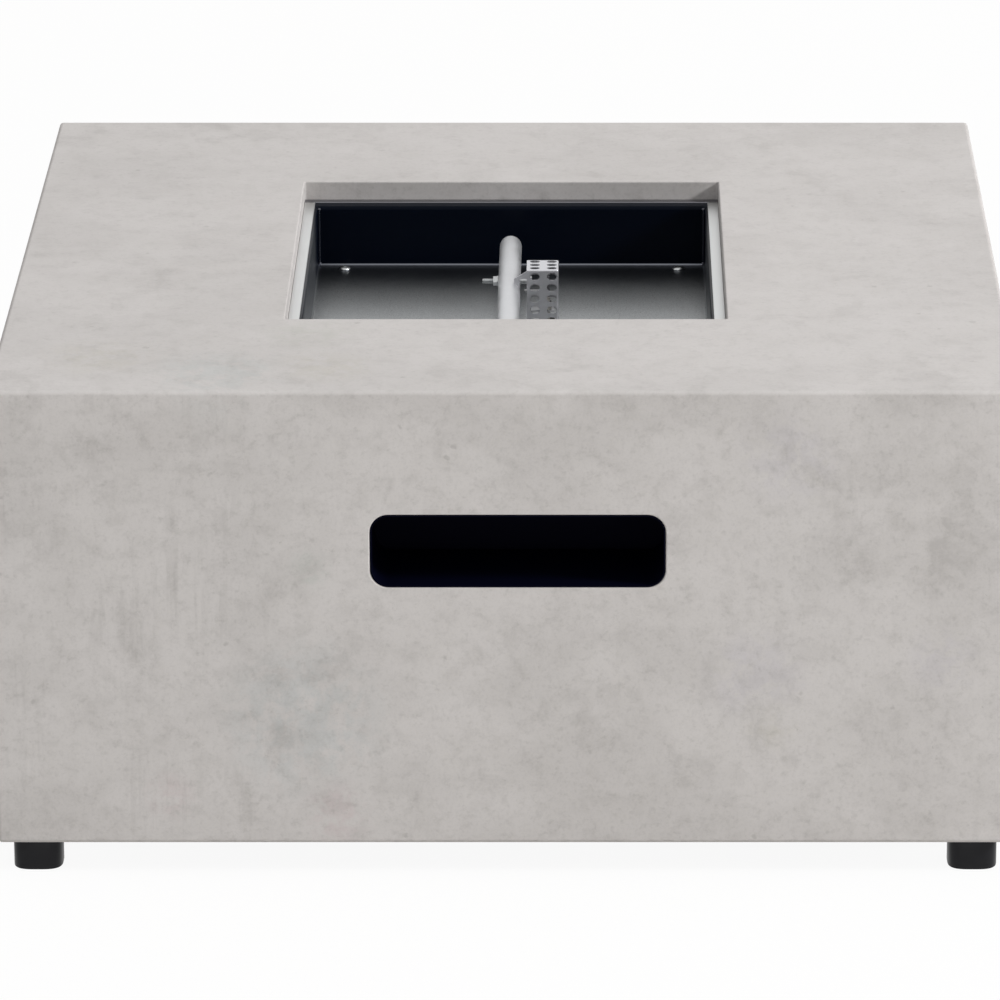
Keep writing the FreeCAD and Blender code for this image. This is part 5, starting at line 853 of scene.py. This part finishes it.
def makePanScrews():
    s = panScrews
    skins = []
    for low, high in solidsOf("pan_screws"):
        radius = s["cornerRadius"] if abs((low + high).x / 2) > s["cornersFrom"] else s["middleRadius"]
        seat = high.z - s["height"]
        rings = [ringOf(lambda a, r=r: r * radius, seat + z * s["height"], s["sides"]) for r, z in s["dome"]]
        for height in (high.z, high.z - s["deep"]):
            rings.append(ringOf(lambda a: hexReach(s["socket"], a), height, s["sides"]))
        shank = threadedBar(s["shank"], low.z, seat + s["intoHead"], s["pitch"], **fineThread)
        skins += [(part, uprightAt(low, high)) for part in (latheRings(rings), shank)]
    standIn("pan_screws", "_domed", skins, smooth=True, sharpDegrees=s["sharpDegrees"])


makePanScrews()
print("fasteners made")


# Marks beside the knob and the igniter, pad printed, and paint in the knob's pointer

controlMarks = {
    "panelX": 410.4 * mm, "sunk": 0.03 * mm, "thick": 0.12 * mm,
    "knobY": -42 * mm, "buttonY": 50 * mm, "axisZ": 307.85 * mm,
    "dotOut": 27 * mm, "dotRadius": 1.1 * mm, "dotSides": 24,
    "arcOut": 27 * mm, "arcFrom": 75, "arcTo": 180, "arcSteps": 36,
    "arcWide": 3.0 * mm, "arcNarrow": 0.7 * mm,
    "sparkUp": 20.5 * mm, "sparkSize": 7.5 * mm,
    "spark": [(0.12, 0.62), (-0.3, -0.08), (-0.02, -0.02), (-0.16, -0.62), (0.3, 0.12), (0.02, 0.06)],
    "pointer": (6.2 * mm, 14.3 * mm), "pointerHalf": 0.9 * mm, "knobTop": 441.4 * mm,
    "paintUnderTop": (0.82 * mm, 0.4 * mm),
}


def plateOf(outline, low, high):
    # a thin flat plate over an outline of (y, z) points, between two values of x
    count = len(outline)
    vertices = [Vector((x, y, z)) for x in (low, high) for y, z in outline]
    faces = [tuple(reversed(range(count))), tuple(range(count, 2 * count))]
    faces += [(k, (k + 1) % count, count + (k + 1) % count, count + k) for k in range(count)]
    return vertices, faces


def makeControlMarks():
    s = controlMarks
    low, high = s["panelX"] - s["sunk"], s["panelX"] + s["thick"]
    plates = []
    dot = [(s["knobY"] + s["dotRadius"] * math.cos(a),
            s["axisZ"] + s["dotOut"] + s["dotRadius"] * math.sin(a))
           for a in (2 * math.pi * k / s["dotSides"] for k in range(s["dotSides"]))]
    plates.append(plateOf(dot, low, high))
    # from full flame to low flame, a wedge that narrows as the knob turns on
    for k in range(s["arcSteps"]):
        quad = []
        for i, side in ((k, -1), (k + 1, -1), (k + 1, 1), (k, 1)):
            share = i / s["arcSteps"]
            turn = math.radians(s["arcFrom"] + (s["arcTo"] - s["arcFrom"]) * share)
            half = (s["arcWide"] + (s["arcNarrow"] - s["arcWide"]) * share) / 2
            out = s["arcOut"] + side * half
            quad.append((s["knobY"] - out * math.sin(turn), s["axisZ"] + out * math.cos(turn)))
        plates.append(plateOf(quad, low, high))
    size = s["sparkSize"]
    middle = (s["buttonY"], s["axisZ"] + s["sparkUp"])
    plates.append(plateOf([(middle[0] + y * size, middle[1] + z * size) for y, z in s["spark"]], low, high))
    newPiece("control_marks", [(plate, still) for plate in plates], "table", "markPaint", "white_ceramic")
    line = [(s["knobY"] + side * s["pointerHalf"], s["axisZ"] + s["pointer"][end])
            for side, end in ((-1, 0), (1, 0), (1, 1), (-1, 1))]
    paint = plateOf(line, *(s["knobTop"] - depth for depth in s["paintUnderTop"]))
    newPiece("pointer_paint", [(paint, still)], "control_knob", "markPaint", "white_ceramic")


makeControlMarks()
print("marks printed")


# Floor and light: a pale floor that takes the object's soft shadow, an even white room, a large soft lamp at
# the right, and a weak one low in front

studio = {
    "floorColour": "#F5F4F2",
    "floorRoughness": 0.9,
    "floorHalfWidth": 40,
    "floorOwnWhite": 0.93,     # share of plain white where the camera or a reflection sees the floor
    "roomLow": 0.04,           # the room's light at the horizon, and straight above
    "roomHigh": 1.15,
    "roomPower": 2.0,          # how late it brightens on the way up
    "lamps": {                 # place, size and power
        "key": ((9.15, -2.85, 5.95), 1.9, 870),
        "fill": ((0, -4.2, 0.22), 0.4, 9),     # under the rim, for the front wall alone
    },
    "lampsLookAt": (0, 0, 0.35),
}


def seenDirectly(tree):
    # 1 for a ray from the camera, by a reflection or through glass, and otherwise 0
    path = addNode(tree, "LightPath")
    seen = path.outputs["Is Camera Ray"]
    for ray in ("Is Glossy Ray", "Is Transmission Ray"):
        seen = addNode(tree, "Math", {0: seen, 1: path.outputs[ray]}, operation="MAXIMUM").outputs[0]
    return seen


def makeStudio():
    s = studio
    half = s["floorHalfWidth"]
    floorMesh = meshOf("floor", [(-half, -half, 0), (half, -half, 0), (half, half, 0), (-half, half, 0)],
                       [(0, 1, 2, 3)], smooth=False)
    floor = bpy.data.objects.new("floor", floorMesh)
    bpy.context.scene.collection.objects.link(floor)
    material, tree, shader, spot = startMaterial("paintedFloor", Roughness=s["floorRoughness"])
    shader.inputs["Base Color"].default_value = linearColour(s["floorColour"])
    share = addNode(tree, "Math", {0: seenDirectly(tree), 1: s["floorOwnWhite"]}, operation="MULTIPLY")
    white = addNode(tree, "Emission", {"Color": (1, 1, 1, 1), "Strength": 1.0})
    blend = addNode(tree, "MixShader", {"Fac": share.outputs[0], 1: shader.outputs[0], 2: white.outputs[0]})
    output = next(node for node in tree.nodes if node.type == "OUTPUT_MATERIAL")
    tree.links.new(blend.outputs[0], output.inputs["Surface"])
    floorMesh.materials.append(material)

    world = bpy.data.worlds.new("studioRoom")
    bpy.context.scene.world = world
    world.use_nodes = True
    tree = world.node_tree
    tree.nodes.clear()
    towards = addNode(tree, "SeparateXYZ", {0: addNode(tree, "TexCoord").outputs["Generated"]})
    above = addNode(tree, "Math", {0: towards.outputs["Z"], 1: 0.0}, operation="MAXIMUM")
    steep = addNode(tree, "Math", {0: above.outputs[0], 1: s["roomPower"]}, operation="POWER")
    light = addNode(tree, "MapRange", {"Value": steep.outputs[0], "To Min": s["roomLow"],
                                       "To Max": s["roomHigh"]})
    strength = addNode(tree, "MapRange", {"Value": seenDirectly(tree), "To Min": light.outputs[0],
                                          "To Max": 1.0})
    room = addNode(tree, "Background", {"Color": (1, 1, 1, 1), "Strength": strength.outputs[0]})
    addNode(tree, "OutputWorld", {"Surface": room.outputs[0]})

    for name, (place, size, power) in s["lamps"].items():
        lampData = bpy.data.lights.new(name + "Lamp", "AREA")
        lampData.shape = "DISK"
        lampData.size = size
        lampData.energy = power
        lamp = bpy.data.objects.new(name + "Lamp", lampData)
        bpy.context.scene.collection.objects.link(lamp)
        lamp.location = place
        towardsTable = Vector(s["lampsLookAt"]) - lamp.location
        lamp.rotation_euler = towardsTable.to_track_quat("-Z", "Y").to_euler()


makeStudio()
print("studio lit")
